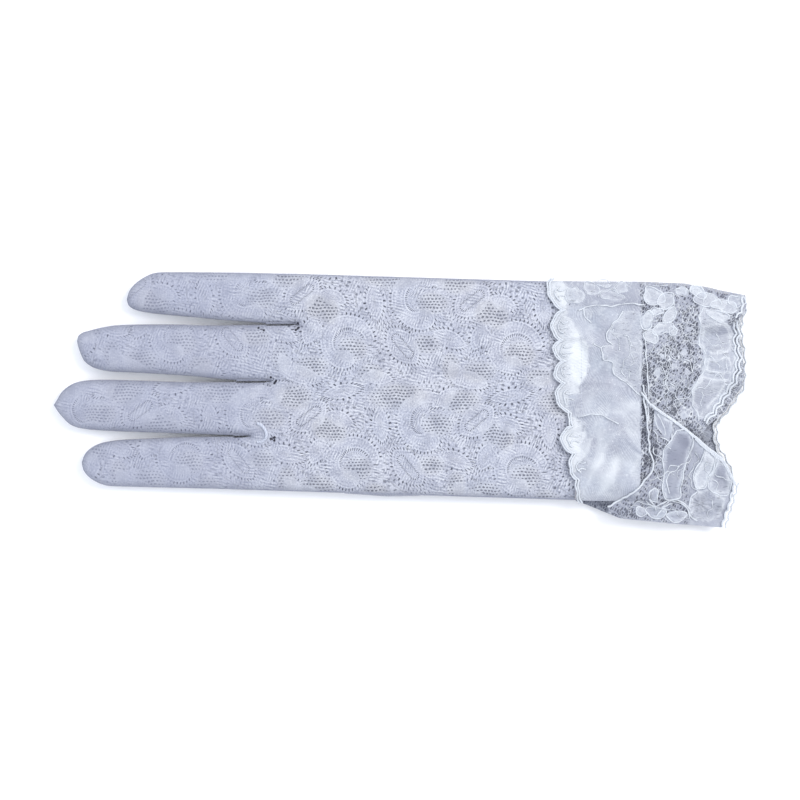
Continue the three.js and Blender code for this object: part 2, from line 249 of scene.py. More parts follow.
# In grid units, one repeat of the figure. The y axis here runs like h.
CURLS = [
    (345, 345, 25, 0.44, -15, 255, 5.8, -1),
    (420, 303, 27, 0.34, -45, 240, 6.2, -1),
]
LEAVES = [
    (303, 295, 41, 27, -38), (402, 346, 42, 25, 50),
    (374, 304, 36, 15, 82), (334, 298, 28, 14, 25), (449, 339, 36, 15, 22), (377, 377, 30, 13, 8), (301, 374, 36, 17, 18), (342, 391, 38, 13, -10),
    (456, 374, 28, 15, 62), (479, 336, 28, 15, 112), (444, 398, 30, 12, -38), (476, 382, 26, 13, 20), (318, 331, 20, 11, 70),
]
OPEN = [(398, 397, 30, 13), (351, 349, 15, 12), (431, 305, 16, 11), (311, 366, 17, 11), (370, 372, 13, 9), (425, 344, 14, 9), (462, 403, 19, 12), (486, 313, 12, 12), (450, 366, 9, 14), (330, 312, 10, 12)]


def figure(x, y):
    """For points in metres: distance outside the figure in mm (negative inside it), how open the ground is, the distance to the inner slit of an oval, and the way round the nearest motif (a direction, and how many stitches go round it)."""
    g, h = np.asarray(x) / S + GX, GY - np.asarray(y) / S
    g = g + 3.0 * (noise(x, y, 22 * MM, 11) - 0.5)
    h = h + 3.0 * (noise(x, y, 22 * MM, 12) - 0.5)
    sd = np.full(np.shape(g), 99.0)
    slit = np.full(np.shape(g), 99.0)
    opened = np.zeros(np.shape(g))
    around = np.zeros(np.shape(g) + (3,))

    def nearer(here, u, v, size):
        closer = here < sd
        r = np.hypot(u, v) + 1e-6
        one = np.stack([u / r, v / r, np.full(np.shape(g), float(round(2 * math.pi * size / 3.4)))], -1)
        around[closer] = one[closer]
        return np.minimum(sd, here)

    for i in range(-3, 3):
        for j in range(-2, 3):
            ox, oy = i * REPEAT[0][0] + j * REPEAT[1][0], i * REPEAT[0][1] + j * REPEAT[1][1]
            if not -40 < 385 + ox < 720 or not 190 < 340 + oy < 610:
                continue
            for cx, cy, r, turn, start, sweep, thick, hand in CURLS:
                here = curl(g, h, cx + ox, cy + oy, r, turn, start, sweep, thick, hand)
                sd = nearer(here, g - cx - ox, h - cy - oy, r)
            for n, (cx, cy, length, width, angle) in enumerate(LEAVES):
                here = leaf(g, h, cx + ox, cy + oy, length, width, angle)
                u, v = local(g, h, cx + ox, cy + oy, angle)
                sd = nearer(here, u / length * 2, v / width * 2, (length + width) / 4)
                if n < 2:
                    inner = np.hypot(np.maximum(np.abs(u) - length * 0.24, 0), v)
                    slit = np.minimum(slit, inner)
            for cx, cy, a, b in OPEN:
                opened = np.maximum(opened, np.exp(-(((g - cx - ox) / a) ** 2 + ((h - cy - oy) / b) ** 2) ** 1.5))
    for f in FINGERS.values():
        # the fingertips are knitted close, with no figure
        tip = np.hypot((g - f["tip"][0]) * 0.8, h - (f["tip"][1] if f["tip"][1] < 460 else f["tip"][1] + 3)) - 15
        sd = np.minimum(sd, tip)
    return sd * 0.42, opened, slit * 0.42, around


# near-black spots of painted shade by the crotches: the stitch holes, and the shade under a fold
SHADED_HOLES = [(298.3, 323.5), (299.2, 328.0), (296.3, 330.4), (271.4, 377.4), (276.8, 380.8), (275.0, 383.4), (275.6, 437.0), (272.0, 438.4), (275.2, 440.4), (259.0, 328.2), (264.5, 330.6)]


def nearest_shaded_hole(x, y):
    """The step, in mm, from each point to the nearest painted dark spot by the finger crotches: the stitch holes, and
    the shade under a fold.
    """
    best = np.full(np.shape(x), 1e9)
    step = np.zeros(np.shape(x) + (3,))
    for px, py in plan(SHADED_HOLES):
        dx, dy = (x - px) * 1000, (y - py) * 1000
        d = np.hypot(dx, dy)
        near = d < best
        best = np.minimum(best, d)
        step[near] = np.stack([dx, dy, 0 * dx], -1)[near]
    return step


# ---------------------------------------------------------------- meshes
def new_mesh(name, verts, faces, attributes=None, smooth_shading=True):
    mesh = bpy.data.meshes.new(name)
    verts = np.ascontiguousarray(verts, np.float32)
    faces = np.ascontiguousarray(faces, np.int32)
    mesh.vertices.add(len(verts))
    mesh.vertices.foreach_set("co", verts.ravel())
    k = faces.shape[1]
    mesh.loops.add(faces.size)
    mesh.loops.foreach_set("vertex_index", faces.ravel())
    mesh.polygons.add(len(faces))
    mesh.polygons.foreach_set("loop_start", np.arange(0, faces.size, k, dtype=np.int32))
    mesh.polygons.foreach_set("loop_total", np.full(len(faces), k, np.int32))
    mesh.update(calc_edges=True)
    mesh.validate()
    if smooth_shading:
        mesh.polygons.foreach_set("use_smooth", np.ones(len(mesh.polygons), bool))
    for key, value in (attributes or {}).items():
        value = np.asarray(value, np.float32)
        if value.ndim == 2:
            mesh.attributes.new(key, "FLOAT_VECTOR", "POINT").data.foreach_set("vector", value.ravel())
        else:
            mesh.attributes.new(key, "FLOAT", "POINT").data.foreach_set("value", value.ravel())
    o = bpy.data.objects.new(name, mesh)
    bpy.context.scene.collection.objects.link(o)
    return o


def grid_faces(nu, nv, first=0, flip=False, keep=None):
    i, j = np.meshgrid(np.arange(nu - 1), np.arange(nv - 1), indexing="ij")
    a = i * nv + j
    f = np.stack([a, a + nv, a + nv + 1, a + 1], -1).reshape(-1, 4)
    if keep is not None:
        f = f[keep.ravel()]
    if flip:
        f = f[:, ::-1]
    return f + first


class Builder:
    """Collects grids of points with their attributes into one mesh, and welds points that are in the same place."""

    def __init__(self):
        self.v, self.f, self.a, self.n = [], [], [], 0

    def grid(self, P, attributes, flip=False, keep=None):
        nu, nv = P.shape[:2]
        self.f.append(grid_faces(nu, nv, self.n, flip, keep))
        self.v.append(P.reshape(-1, 3))
        self.a.append({k: np.asarray(v).reshape((nu * nv,) + np.shape(v)[2:]) for k, v in attributes.items()})
        self.n += nu * nv

    def build(self, name, weld=2e-6):
        v, f = np.vstack(self.v), np.vstack(self.f)
        a = {k: np.concatenate([q[k] for q in self.a]) for k in self.a[0]}
        key = np.round(v / weld).astype(np.int64)
        _, first, back = np.unique(key, axis=0, return_index=True, return_inverse=True)
        back = back.ravel()
        f = back[f]
        v, a = v[first], {k: q[first] for k, q in a.items()}
        good = np.array([len(set(q)) == 4 for q in f.tolist()])
        tri = f[~good]
        quads = f[good]
        o = new_mesh(name, v, quads, a)
        used = np.zeros(len(v), bool)
        used[quads.ravel()] = True
        if not used.all():
            import bmesh
            bm = bmesh.new()
            bm.from_mesh(o.data)
            bmesh.ops.delete(bm, geom=[q for q in bm.verts if not q.link_faces], context="VERTS")
            bm.to_mesh(o.data)
            bm.free()
        return o


def lace_attributes(x, y, d, mirror=False):
    """What the lace material reads at each point: its flat position in mm, the figure, and painted shade: darker within
    about 3 mm of an edge, darker and bluer on the fingers, and near-black spots by the crotches.
    """
    sd, opened, slit, around = figure(x, y if not mirror else -y + 0.0031)
    rest = np.stack([x * 1000, y * 1000, np.zeros_like(x)], -1)
    # painted shade: 0 at an edge and 1 from about 3 mm in, so the lace is painted darker near the edges
    painted_light_and_tone = smooth(d / (3.2 * MM))
    # painted shade: 1 on the fingers, falling to 0 between g 200 and 330 towards the hand
    finger_shade = 1 - smooth((x - gx(200)) / (gx(330) - gx(200)))
    hole_shade = nearest_shaded_hole(x, y) if not mirror else np.full(np.shape(x) + (3,), 9.0)
    return dict(rest=rest, sd=sd, opened=opened, slit=slit, around=around, painted_light_and_tone=painted_light_and_tone, finger_shade=finger_shade, hole_shade=hole_shade)


def finish_lace(x, y, z, attributes, up=1):
    """Real relief: the figure stands a little proud of the net ground."""
    return z + up * (0.07 * MM * smooth((0.5 - attributes["sd"]) / 1.0) - 0.05 * MM)


INSET = 0.55 * MM
STEP = 0.62 * MM


def column_limits(points, x):
    """The y of an outline's side at each x. The side is drawn as a function of g."""
    p = plan(points)
    order = np.argsort(p[:, 0])
    return np.interp(x, p[order, 0], p[order, 1])


def inset_at(g, crotch):
    """How far a layer stops short of the edge. It closes up towards the point where two fingers part."""
    if crotch is None:
        return np.full(np.shape(g), INSET)
    return INSET * smooth((CROTCHES[crotch][0] - np.asarray(g)) / 6.0)


def finger_sheet(name, f, g_from, g_to, to_tip, upper):
    """One layer of one finger segment, from g_from (nearer the hand) to g_to."""
    x0 = float(gx(g_from))
    x1 = float(gx(f["tip"][0])) + INSET * 0.8 if to_tip else float(gx(g_to))
    n = max(6, int(abs(x0 - x1) / STEP))
    t = np.linspace(0, 1, n + 1)
    if to_tip:
        t = np.sin(t * math.pi / 2) * 0.45 + t * 0.55
        t = t / t[-1]
    xs = x0 + (x1 - x0) * t
    g = xs / S + GX
    hi = column_limits(f["outer"], xs)
    lo = column_limits(f["inner"], xs)
    room = np.maximum((hi - lo) / 2 - 0.05 * MM, 0)
    a = np.minimum(inset_at(g, f["outer_crotch"]) * np.minimum(np.hypot(1, np.gradient(hi, xs)), 3), room * 0.8)
    b = np.minimum(inset_at(g, f["inner_crotch"]) * np.minimum(np.hypot(1, np.gradient(lo, xs)), 3), room * 0.8)
    hi, lo = hi - a, lo + b
    m = ROWS[f["name"]]
    v = np.linspace(0, 1, m + 1)
    X = np.repeat(xs[:, None], m + 1, 1)
    Y = lo[:, None] + (hi - lo)[:, None] * v[None, :]
    b = Builder()
    sheet_grid(b, X, Y, upper)
    return b.build(name)


def sheet_grid(b, X, Y, upper, extra=0.0):
    d = distance_to(OUTLINE, X, Y)
    A = lace_attributes(X, Y, d, mirror=not upper)
    Z = back_z(X, Y, d) if upper else palm_z(X, Y, d)
    Z = finish_lace(X, Y, Z, A, 1 if upper else -0.5)
    b.grid(np.stack([X, Y, Z + extra], -1), A, flip=not upper)


def hand_sheet(name, upper, g_end=BAND):
    """The hand's layer: four bands that start at their own finger and are one cloth past the crotches."""
    b = Builder()
    names = list(FINGERS)
    for k, n in enumerate(names):
        f = FINGERS[n]
        count = int(round((g_end - f["start"]) / 1.4))
        g = f["start"] + 1.4 * np.arange(count + 1)
        g[-1] = g_end
        # all bands share the same stations past the crotches
        xs = gx(g)
        if k == 0:
            hi = hy(little_edge(g)) - INSET
        else:
            line = np.interp(g, [f["start"], CROTCHES[k - 1][0]], [f["outer"][0][1], CROTCHES[k - 1][1]])
            hi = hy(line) - inset_at(g, k - 1)
        if k == 3:
            lo = hy(index_edge(g)) + INSET
        else:
            line = np.interp(g, [f["start"], CROTCHES[k][0]], [f["inner"][-1][1], CROTCHES[k][1]])
            lo = hy(line) + inset_at(g, k)
        m = ROWS[n]
        v = np.linspace(0, 1, m + 1)
        X = np.repeat(xs[:, None], m + 1, 1)
        Y = lo[:, None] + (hi - lo)[:, None] * v[None, :]
        sheet_grid(b, X, Y, upper)
    return b.build(name)


ROWS = dict(little=36, ring=38, middle=38, index=38)
for n, f in FINGERS.items():
    f["name"] = n


def side_strip(name, points, crotches=None, rows=9, thumb_gap=None):
    """The strip that turns over the edge between the back and palm layers. crotches gives the inset's rule at each end of the strip."""
    p = plan(points)
    seg = np.hypot(*np.diff(p, axis=0).T)
    s = np.concatenate([[0], np.cumsum(seg)])
    n = max(4, int(s[-1] / (0.7 * MM)))
    t = np.linspace(0, s[-1], n + 1)
    x, y = np.interp(t, s, p[:, 0]), np.interp(t, s, p[:, 1])
    tx, ty = np.gradient(x, t), np.gradient(y, t)
    l = np.hypot(tx, ty) + 1e-12
    nx, ny = -ty / l, tx / l
    probe, mid = 0.8 * MM, n // 2
    inside = 1 if covered(x[mid] + nx[mid] * probe, y[mid] + ny[mid] * probe) else -1
    nx, ny = nx * inside, ny * inside
    ins = inset_at(x / S + GX, crotches)
    ins = np.maximum(ins, 0.06 * MM)
    top, low = back_z(x + nx * ins, y + ny * ins, ins), palm_z(x + nx * ins, y + ny * ins, ins)
    X, Y, Z = [], [], []
    deep = ins + 0.5 * MM
    X.append(x + nx * deep); Y.append(y + ny * deep); Z.append(back_z(x + nx * deep, y + ny * deep, deep) - 0.12 * MM)
    angles = np.linspace(0, math.pi, rows)
    for k in angles:
        off = ins * (1 - np.sin(k)) + 0.02 * MM
        X.append(x + nx * off); Y.append(y + ny * off)
        Z.append((top + low) / 2 + (top - low) / 2 * np.cos(k))
    X.append(x + nx * deep); Y.append(y + ny * deep); Z.append(palm_z(x + nx * deep, y + ny * deep, deep) + 0.12 * MM)
    X, Y, Z = np.array(X).T, np.array(Y).T, np.array(Z).T
    k = X.shape[1]
    along = np.repeat(t[:, None], k, 1)
    across = np.repeat(np.linspace(0, 5.0, k)[None, :], n + 1, 0)
    # painted shade: a strip gets the full painted darkening of an edge
    A = dict(rest=np.stack([along * 1000, across, np.zeros_like(along)], -1), sd=np.full(X.shape, 1.5), opened=np.full(X.shape, 0.05), slit=np.full(X.shape, 9.0), painted_light_and_tone=np.zeros(X.shape), finger_shade=np.full(X.shape, 0.5), around=np.zeros(X.shape + (3,)), hole_shade=np.full(X.shape + (3,), 9.0))
    b = Builder()
    b.grid(np.stack([X, Y, Z], -1), A, flip=inside > 0)
    return b.build(name)


def covered(x, y):
    """Whether a plan point lies inside the glove's outline."""
    c = False
    n = len(OUTLINE)
    j = n - 1
    for i in range(n):
        (x0, y0), (x1, y1) = OUTLINE[i], OUTLINE[j]
        if (y0 > y) != (y1 > y) and x < (x1 - x0) * (y - y0) / (y1 - y0) + x0:
            c = not c
        j = i
    return c


def tube(name, paths, radius, sides=6, closed=False, twist=0.0, uneven=0.0):
    """Cords along paths of (x, y, z) points in metres, joined in one mesh."""
    verts, faces, rest = [], [], []
    base = 0
    for path in paths:
        p = np.asarray(path, float)
        if len(p) < 2:
            continue
        t = np.gradient(p, axis=0)
        t /= np.linalg.norm(t, axis=1)[:, None] + 1e-12
        up = np.array([0, 0, 1.0])
        side = np.cross(t, up)
        l = np.linalg.norm(side, axis=1)[:, None]
        side = np.where(l > 1e-3, side / (l + 1e-12), np.array([1.0, 0, 0]))
        nrm = np.cross(side, t)
        s = np.concatenate([[0], np.cumsum(np.linalg.norm(np.diff(p, axis=0), axis=1))])
        r = radius if np.ndim(radius) == 0 else radius
        for i in range(len(p)):
            taper = 1.0 + uneven * math.sin(s[i] / (1.1 * MM) + base) * math.sin(s[i] / (2.7 * MM) + 1.3)
            for k in range(sides):
                a = 2 * math.pi * k / sides
                rr = r * taper * (1 + 0.16 * math.cos(3 * a + s[i] / (0.45 * MM)) if twist else 1)
                verts.append(p[i] + rr * (math.cos(a) * side[i] + math.sin(a) * nrm[i]))
                rest.append((s[i] * 1000, k / sides * 3.0, 0))
        for i in range(len(p) - 1):
            for k in range(sides):
                a, b = base + i * sides + k, base + i * sides + (k + 1) % sides
                faces.append((a, b, b + sides, a + sides))
        base += len(p) * sides
    return new_mesh(name, verts, faces, dict(rest=np.array(rest)))


def resample(points, step, smooth_it=True):
    """A smooth path through the points with even steps."""
    p = np.asarray(points, float)
    if smooth_it and len(p) > 2:
        q = []
        e = np.vstack([2 * p[0] - p[1], p, 2 * p[-1] - p[-2]])
        for i in range(1, len(e) - 2):
            a, b, c, d = e[i - 1], e[i], e[i + 1], e[i + 2]
            for t in np.linspace(0, 1, 9)[:-1]:
                q.append(0.5 * (2 * b + (c - a) * t + (2 * a - 5 * b + 4 * c - d) * t * t + (3 * b - a - 3 * c + d) * t ** 3))
        q.append(p[-1])
        p = np.array(q)
    s = np.concatenate([[0], np.cumsum(np.linalg.norm(np.diff(p, axis=0), axis=1))])
    n = max(2, int(round(s[-1] / step)))
    t = np.linspace(0, s[-1], n + 1)
    return np.stack([np.interp(t, s, p[:, k]) for k in range(p.shape[1])], 1)


# ---------------------------------------------------------------- materials
LEVEL = 0.66  # how much of the light the whitest thread sends back


def cloth(*c):
    return (c[0] * LEVEL, c[1] * LEVEL, c[2] * LEVEL, 1)


class Nodes:
    """A short way to write a node material."""

    def __init__(self, name):
        self.m = bpy.data.materials.new(name)
        self.m.use_nodes = True
        self.t = self.m.node_tree
        self.bsdf = self.t.nodes["Principled BSDF"]
        self.out = self.t.nodes["Material Output"]

    def put(self, node, socket, value):
        if isinstance(value, bpy.types.NodeSocket):
            self.t.links.new(value, node.inputs[socket])
        elif value is not None:
            node.inputs[socket].default_value = value

    def math(self, op, a, b=None, c=None, clamp=False):
        n = self.t.nodes.new("ShaderNodeMath")
        n.operation, n.use_clamp = op, clamp
        for i, v in enumerate((a, b, c)):
            if v is not None:
                self.put(n, i, v)
        return n.outputs[0]

    def vec(self, op, a, b=None, out=0, scale=None):
        n = self.t.nodes.new("ShaderNodeVectorMath")
        n.operation = op
        self.put(n, 0, a)
        if b is not None:
            self.put(n, 1, b)
        if scale is not None:
            self.put(n, 3, scale)
        return n.outputs[out]

    def attribute(self, name, vector=False):
        n = self.t.nodes.new("ShaderNodeAttribute")
        n.attribute_type, n.attribute_name = "GEOMETRY", name
        return n.outputs["Vector" if vector else "Fac"]

    def band(self, value, low, high, a=0.0, b=1.0):
        n = self.t.nodes.new("ShaderNodeMapRange")
        n.interpolation_type = "SMOOTHSTEP"
        for i, v in enumerate((value, low, high, a, b)):
            self.put(n, i, v)
        return n.outputs[0]

    def noise(self, vector, scale, detail=2.0, rough=0.5):
        n = self.t.nodes.new("ShaderNodeTexNoise")
        self.put(n, "Vector", vector)
        self.put(n, "Scale", scale)
        self.put(n, "Detail", detail)
        self.put(n, "Roughness", rough)
        return n.outputs[0]

    def mix(self, f, a, b):
        n = self.t.nodes.new("ShaderNodeMix")
        n.data_type = "RGBA"
        self.put(n, 0, f)
        self.put(n, 6, a)
        self.put(n, 7, b)
        return n.outputs[2]

    def bump(self, height, distance, strength=1.0):
        n = self.t.nodes.new("ShaderNodeBump")
        self.put(n, "Height", height)
        n.inputs["Distance"].default_value = distance
        n.inputs["Strength"].default_value = strength
        self.t.links.new(n.outputs[0], self.bsdf.inputs["Normal"])


def hexagons(n, p, pitch, squeeze=(1.0, 1.0)):
    """Distance, in mm, to the middle of the nearest cell of a staggered net."""
    sx, sy = squeeze
    cell = (pitch, pitch * 1.7320508, 1.0)
    q = n.vec("DIVIDE", p, cell)
    out = []
    for offset in (0.0, 0.5):
        a = n.vec("ADD", q, (offset, offset, 0.5))
        a = n.vec("FRACTION", a)
        a = n.vec("SUBTRACT", a, (0.5, 0.5, 0.5))
        a = n.vec("MULTIPLY", a, (cell[0] * sx, cell[1] * sy, 0.0))
        out.append(n.vec("LENGTH", a, out=1))
    return n.math("MINIMUM", out[0], out[1])


def wobble(n, p, scale, size):
    """The same point, moved about a little, so that no row of the lace is quite straight."""
    c = n.t.nodes.new("ShaderNodeCombineXYZ")
    n.put(c, 0, n.math("MULTIPLY", n.math("SUBTRACT", n.noise(p, scale, 1.0), 0.5), size))
    n.put(c, 1, n.math("MULTIPLY", n.math("SUBTRACT", n.noise(n.vec("ADD", p, (31.0, 7.0, 0.0)), scale, 1.0), 0.5), size))
    return n.vec("ADD", p, c.outputs[0])


def lace_material(name, thread, shade, ground, blue):
    """Stretch lace: a close knitted figure, ringed with rows of dash-like eyelets, on an open net."""
    n = Nodes(name)
    p = n.attribute("rest", True)
    sd, opened, slit, painted_light_and_tone, finger_shade = (n.attribute(k) for k in ("sd", "opened", "slit", "painted_light_and_tone", "finger_shade"))
    q = wobble(n, p, 0.16, 2.2)
    d = hexagons(n, q, 1.52, (0.80, 1.20))
    grain = n.noise(p, 1.4, 3.0, 0.65)
    # rows of short dashes that follow the motifs, each dash square to the edge it follows
    around = n.t.nodes.new("ShaderNodeSeparateXYZ")
    n.put(around, 0, n.attribute("around", True))
    turn = n.math("DIVIDE", n.math("ARCTAN2", around.outputs[1], around.outputs[0]), 2 * math.pi)
    row = n.math("DIVIDE", n.math("ADD", sd, n.math("MULTIPLY", n.math("SUBTRACT", grain, 0.5), 0.32)), 1.7)
    half = n.math("MULTIPLY", n.math("FLOOR", row), 0.5)
    beat = n.math("COSINE", n.math("MULTIPLY", n.math("MULTIPLY_ADD", turn, around.outputs[2], half), 2 * math.pi))
    across = n.math("COSINE", n.math("MULTIPLY", n.math("SUBTRACT", row, 0.5), 2 * math.pi))
    dash = n.math("MULTIPLY", n.band(beat, 0.10, 0.95), n.band(across, -1.1, -0.1))
    motif = n.band(sd, 0.30, -0.30)
    first = n.math("EXPONENT", n.math("MULTIPLY", n.math("MULTIPLY", n.math("SUBTRACT", sd, 0.75), n.math("SUBTRACT", sd, 0.75)), -2.2))
    near = n.math("MULTIPLY", n.band(sd, 7.0, 5.0), n.math("SUBTRACT", 1.0, n.band(opened, 0.10, 0.40)))
    weight = n.math("MULTIPLY", near, n.math("MULTIPLY_ADD", first, 0.22, 0.62))
    weight = n.math("MULTIPLY", weight, n.math("MULTIPLY_ADD", motif, -0.30, 1.0))
    weight = n.math("MULTIPLY", weight, n.band(n.noise(p, 0.30, 2.0), 0.30, 0.56, 0.60, 1.0))
    dashes = n.math("MULTIPLY", dash, weight)
    # the slit of an oval, with its own ring of eyelets
    eye = n.math("SUBTRACT", slit, 1.7)
    eye = n.math("EXPONENT", n.math("MULTIPLY", n.math("MULTIPLY", eye, eye), -4.0))
    dashes = n.math("MAXIMUM", dashes, n.math("MULTIPLY", n.math("MULTIPLY", eye, n.band(beat, -0.2, 0.7)), 0.8))
    # the open net away from the motifs
    size = n.math("MULTIPLY_ADD", opened, 0.33, 0.19)
    size = n.math("MULTIPLY", size, n.math("SUBTRACT", 1.0, n.math("MULTIPLY", near, 0.75)))
    size = n.math("MULTIPLY", size, n.band(sd, 0.05, 0.6))
    size = n.math("SUBTRACT", size, 0.05)
    net = n.math("SUBTRACT", 1.0, n.band(n.math("SUBTRACT", d, size), -0.10, 0.12))
    hole = n.math("MAXIMUM", n.math("MULTIPLY", net, 0.64), dashes)
    # the fingers are stretched less, so their eyelets are nearly shut
    along = n.t.nodes.new("ShaderNodeSeparateXYZ")
    n.put(along, 0, p)
    hole = n.math("MULTIPLY", hole, n.band(along.outputs[0], -68.0, -36.0, 0.82, 1.0))
    hole_shade = n.band(n.vec("LENGTH", n.attribute("hole_shade", True), out=1), 0.62, 0.36)
    solid = n.math("SUBTRACT", 1.0, hole)
    # threads: fine upright ribs, and a raised outline to each motif
    sep = n.t.nodes.new("ShaderNodeSeparateXYZ")
    n.put(sep, 0, q)
    ribs = n.math("SINE", n.math("MULTIPLY", sep.outputs[0], 2 * math.pi / 0.95))
    cross = n.math("SINE", n.math("MULTIPLY", n.math("MULTIPLY_ADD", sep.outputs[0], 0.4, sep.outputs[1]), 2 * math.pi / 1.1))
    knit = n.math("MULTIPLY", ribs, n.math("MULTIPLY_ADD", cross, 0.5, 0.5))
    level = n.math("SINE", n.math("MULTIPLY", n.math("MULTIPLY_ADD", sep.outputs[0], 0.22, sep.outputs[1]), 2 * math.pi / 1.30))
    upright = n.math("SINE", n.math("MULTIPLY", n.math("MULTIPLY_ADD", sep.outputs[1], -0.38, sep.outputs[0]), 2 * math.pi / 1.22))
    which = n.band(n.noise(n.vec("ADD", p, (5.0, 90.0, 0.0)), 0.12, 1.0), 0.44, 0.56)
    hatch = n.math("ADD", n.math("MULTIPLY", level, which), n.math("MULTIPLY", upright, n.math("SUBTRACT", 1.0, which)))
    follow = n.math("COSINE", n.math("MULTIPLY", sd, 2 * math.pi / 1.25))
    close = n.math("EXPONENT", n.math("MULTIPLY", n.math("MULTIPLY", sd, sd), -0.05))
    close = n.math("MULTIPLY", close, n.band(n.noise(p, 0.15, 1.0), 0.35, 0.55))
    hatch = n.math("ADD", n.math("MULTIPLY", hatch, n.math("SUBTRACT", 1.0, close)), n.math("MULTIPLY", follow, n.math("MULTIPLY", close, 0.5)))
    hatch = n.math("MULTIPLY", hatch, n.band(n.noise(p, 0.55, 2.0), 0.32, 0.60, 0.25, 1.0))
    hatch = n.math("MULTIPLY", hatch, n.band(along.outputs[0], -66.0, -38.0, 1.10, 1.08))
    hatch = n.math("MULTIPLY", hatch, n.math("MULTIPLY_ADD", n.band(opened, 0.1, 0.5), -0.7, 1.0))
    rim = n.math("MULTIPLY", n.math("ADD", sd, 0.15), n.math("ADD", sd, 0.15))
    rim = n.math("MULTIPLY", n.math("EXPONENT", n.math("MULTIPLY", rim, -7.0)), n.band(n.noise(p, 0.30, 2.0), 0.42, 0.62, 0.05, 0.8))
    height = n.math("MULTIPLY_ADD", hatch, 0.09, n.math("MULTIPLY", knit, 0.05))
    height = n.math("ADD", height, n.math("MULTIPLY", hole, -0.20))
    height = n.math("ADD", height, n.math("MULTIPLY", rim, 0.16))
    height = n.math("ADD", height, n.math("MULTIPLY", grain, 0.16))
    n.bump(height, 0.0010, 0.55)
    broad = n.noise(p, 0.035, 2.0)
    color = n.mix(n.math("MULTIPLY", n.band(opened, 0.05, 0.6), 0.85), thread, ground)
    color = n.mix(n.math("MULTIPLY", n.band(broad, 0.35, 0.65), 0.45), color, blue)
    color = n.mix(n.band(knit, -0.1, -0.7, 0.0, 0.18), color, shade)
    color = n.mix(n.band(hatch, 0.03, -0.78, 0.0, 0.66), color, shade)
    color = n.mix(n.band(hatch, 0.08, 0.85, 0.0, 0.74), color, cloth(0.91, 0.94, 1.0))
    color = n.mix(n.band(grain, 0.55, 0.35, 0.0, 0.28), color, shade)
    color = n.mix(n.math("MULTIPLY", rim, 0.34), color, cloth(0.86, 0.90, 1.0))
    color = n.mix(n.band(grain, 0.53, 0.68, 0.0, 0.65), color, cloth(0.94, 0.96, 1.0))
    cloud = n.noise(n.vec("ADD", p, (40.0, 3.0, 0.0)), 0.17, 2.0)
    color = n.mix(n.band(cloud, 0.50, 0.66, 0.0, 0.30), color, cloth(0.90, 0.93, 1.0))
    color = n.mix(n.band(cloud, 0.48, 0.34, 0.0, 0.26), color, shade)
    # painted shade: the eyelets and net holes are painted in the shade colour, and are at most three quarters
    # see-through
    color = n.mix(n.math("MULTIPLY", hole, 0.95), color, shade)
    # painted shade: the fingers are painted darker and bluer than the hand
    color = n.mix(n.math("MULTIPLY", finger_shade, 0.46), color, (blue[0] * 0.70, blue[1] * 0.68, blue[2] * 0.74, 1))
    # painted shade: the lace is painted darker near its edges, and the side strips are painted darker all over
    color = n.mix(n.math("MULTIPLY", n.math("SUBTRACT", 1.0, painted_light_and_tone), 0.45), color, shade)
    # painted shade: near-black spots for the stitch holes and the fold by the crotches
    color = n.mix(hole_shade, color, cloth(0.03, 0.03, 0.05))
    n.put(n.bsdf, "Base Color", color)
    n.put(n.bsdf, "Alpha", n.math("MULTIPLY_ADD", n.band(hole, 0.85, 0.35), 0.75, 0.25))
    n.bsdf.inputs["Roughness"].default_value = 0.82
    n.bsdf.inputs["Sheen Weight"].default_value = 0.25
    n.bsdf.inputs["Sheen Roughness"].default_value = 0.5
    n.bsdf.inputs["Specular IOR Level"].default_value = 0.25
    return n.m


def cells(n, p, scale, seed=0.0):
    """Distance to the nearest side of an irregular net, as a share of a cell."""
    v = n.t.nodes.new("ShaderNodeTexVoronoi")
    v.feature, v.voronoi_dimensions = "DISTANCE_TO_EDGE", "2D"
    n.put(v, "Vector", n.vec("ADD", p, (seed, seed * 0.37, 0.0)) if seed else p)
    n.put(v, "Scale", scale)
    return v.outputs["Distance"]


def diamonds(n, p, pitch):
    """Distance to the nearest thread of a diamond net, as a share of a cell."""
    sep = n.t.nodes.new("ShaderNodeSeparateXYZ")
    n.put(sep, 0, p)
    out = []
    for slope in (0.62, -0.62):
        a = n.math("DIVIDE", n.math("MULTIPLY_ADD", sep.outputs[0], slope, sep.outputs[1]), pitch)
        out.append(n.math("ABSOLUTE", n.math("SUBTRACT", n.math("FRACT", a), 0.5)))
    return n.math("SUBTRACT", 0.5, n.math("MAXIMUM", out[0], out[1]))


def weave(n, p, across, along, angle, seed=0.0):
    """Uneven slanting cells: how far a point is from the side of its cell, and a number for the cell."""
    c, s = math.cos(math.radians(angle)), math.sin(math.radians(angle))
    sep = n.t.nodes.new("ShaderNodeSeparateXYZ")
    n.put(sep, 0, p)
    flat = n.t.nodes.new("ShaderNodeCombineXYZ")
    n.put(flat, 0, n.math("MULTIPLY_ADD", sep.outputs[0], c / along, n.math("MULTIPLY", sep.outputs[1], s / along)))
    n.put(flat, 1, n.math("MULTIPLY_ADD", sep.outputs[1], c / across, n.math("MULTIPLY", sep.outputs[0], -s / across)))
    q = n.vec("ADD", flat.outputs[0], (seed, seed * 0.7, 0.0))
    out = []
    for feature, socket in (("DISTANCE_TO_EDGE", "Distance"), ("F1", "Color")):
        v = n.t.nodes.new("ShaderNodeTexVoronoi")
        v.feature, v.voronoi_dimensions = feature, "2D"
        n.put(v, "Vector", q)
        n.put(v, "Scale", 1.0)
        n.put(v, "Randomness", 0.72)
        out.append(v.outputs[socket])
    each = n.t.nodes.new("ShaderNodeSeparateColor")
    n.put(each, 0, out[1])
    return out[0], each.outputs[0]


def vein(n, p, scale, width, seed):
    """Thin threads that wander over the lace."""
    a = n.noise(n.vec("ADD", p, (seed, seed * 1.3, 0.0)), scale, 1.0)
    return n.band(n.math("ABSOLUTE", n.math("SUBTRACT", a, 0.5)), width, width * 0.25)


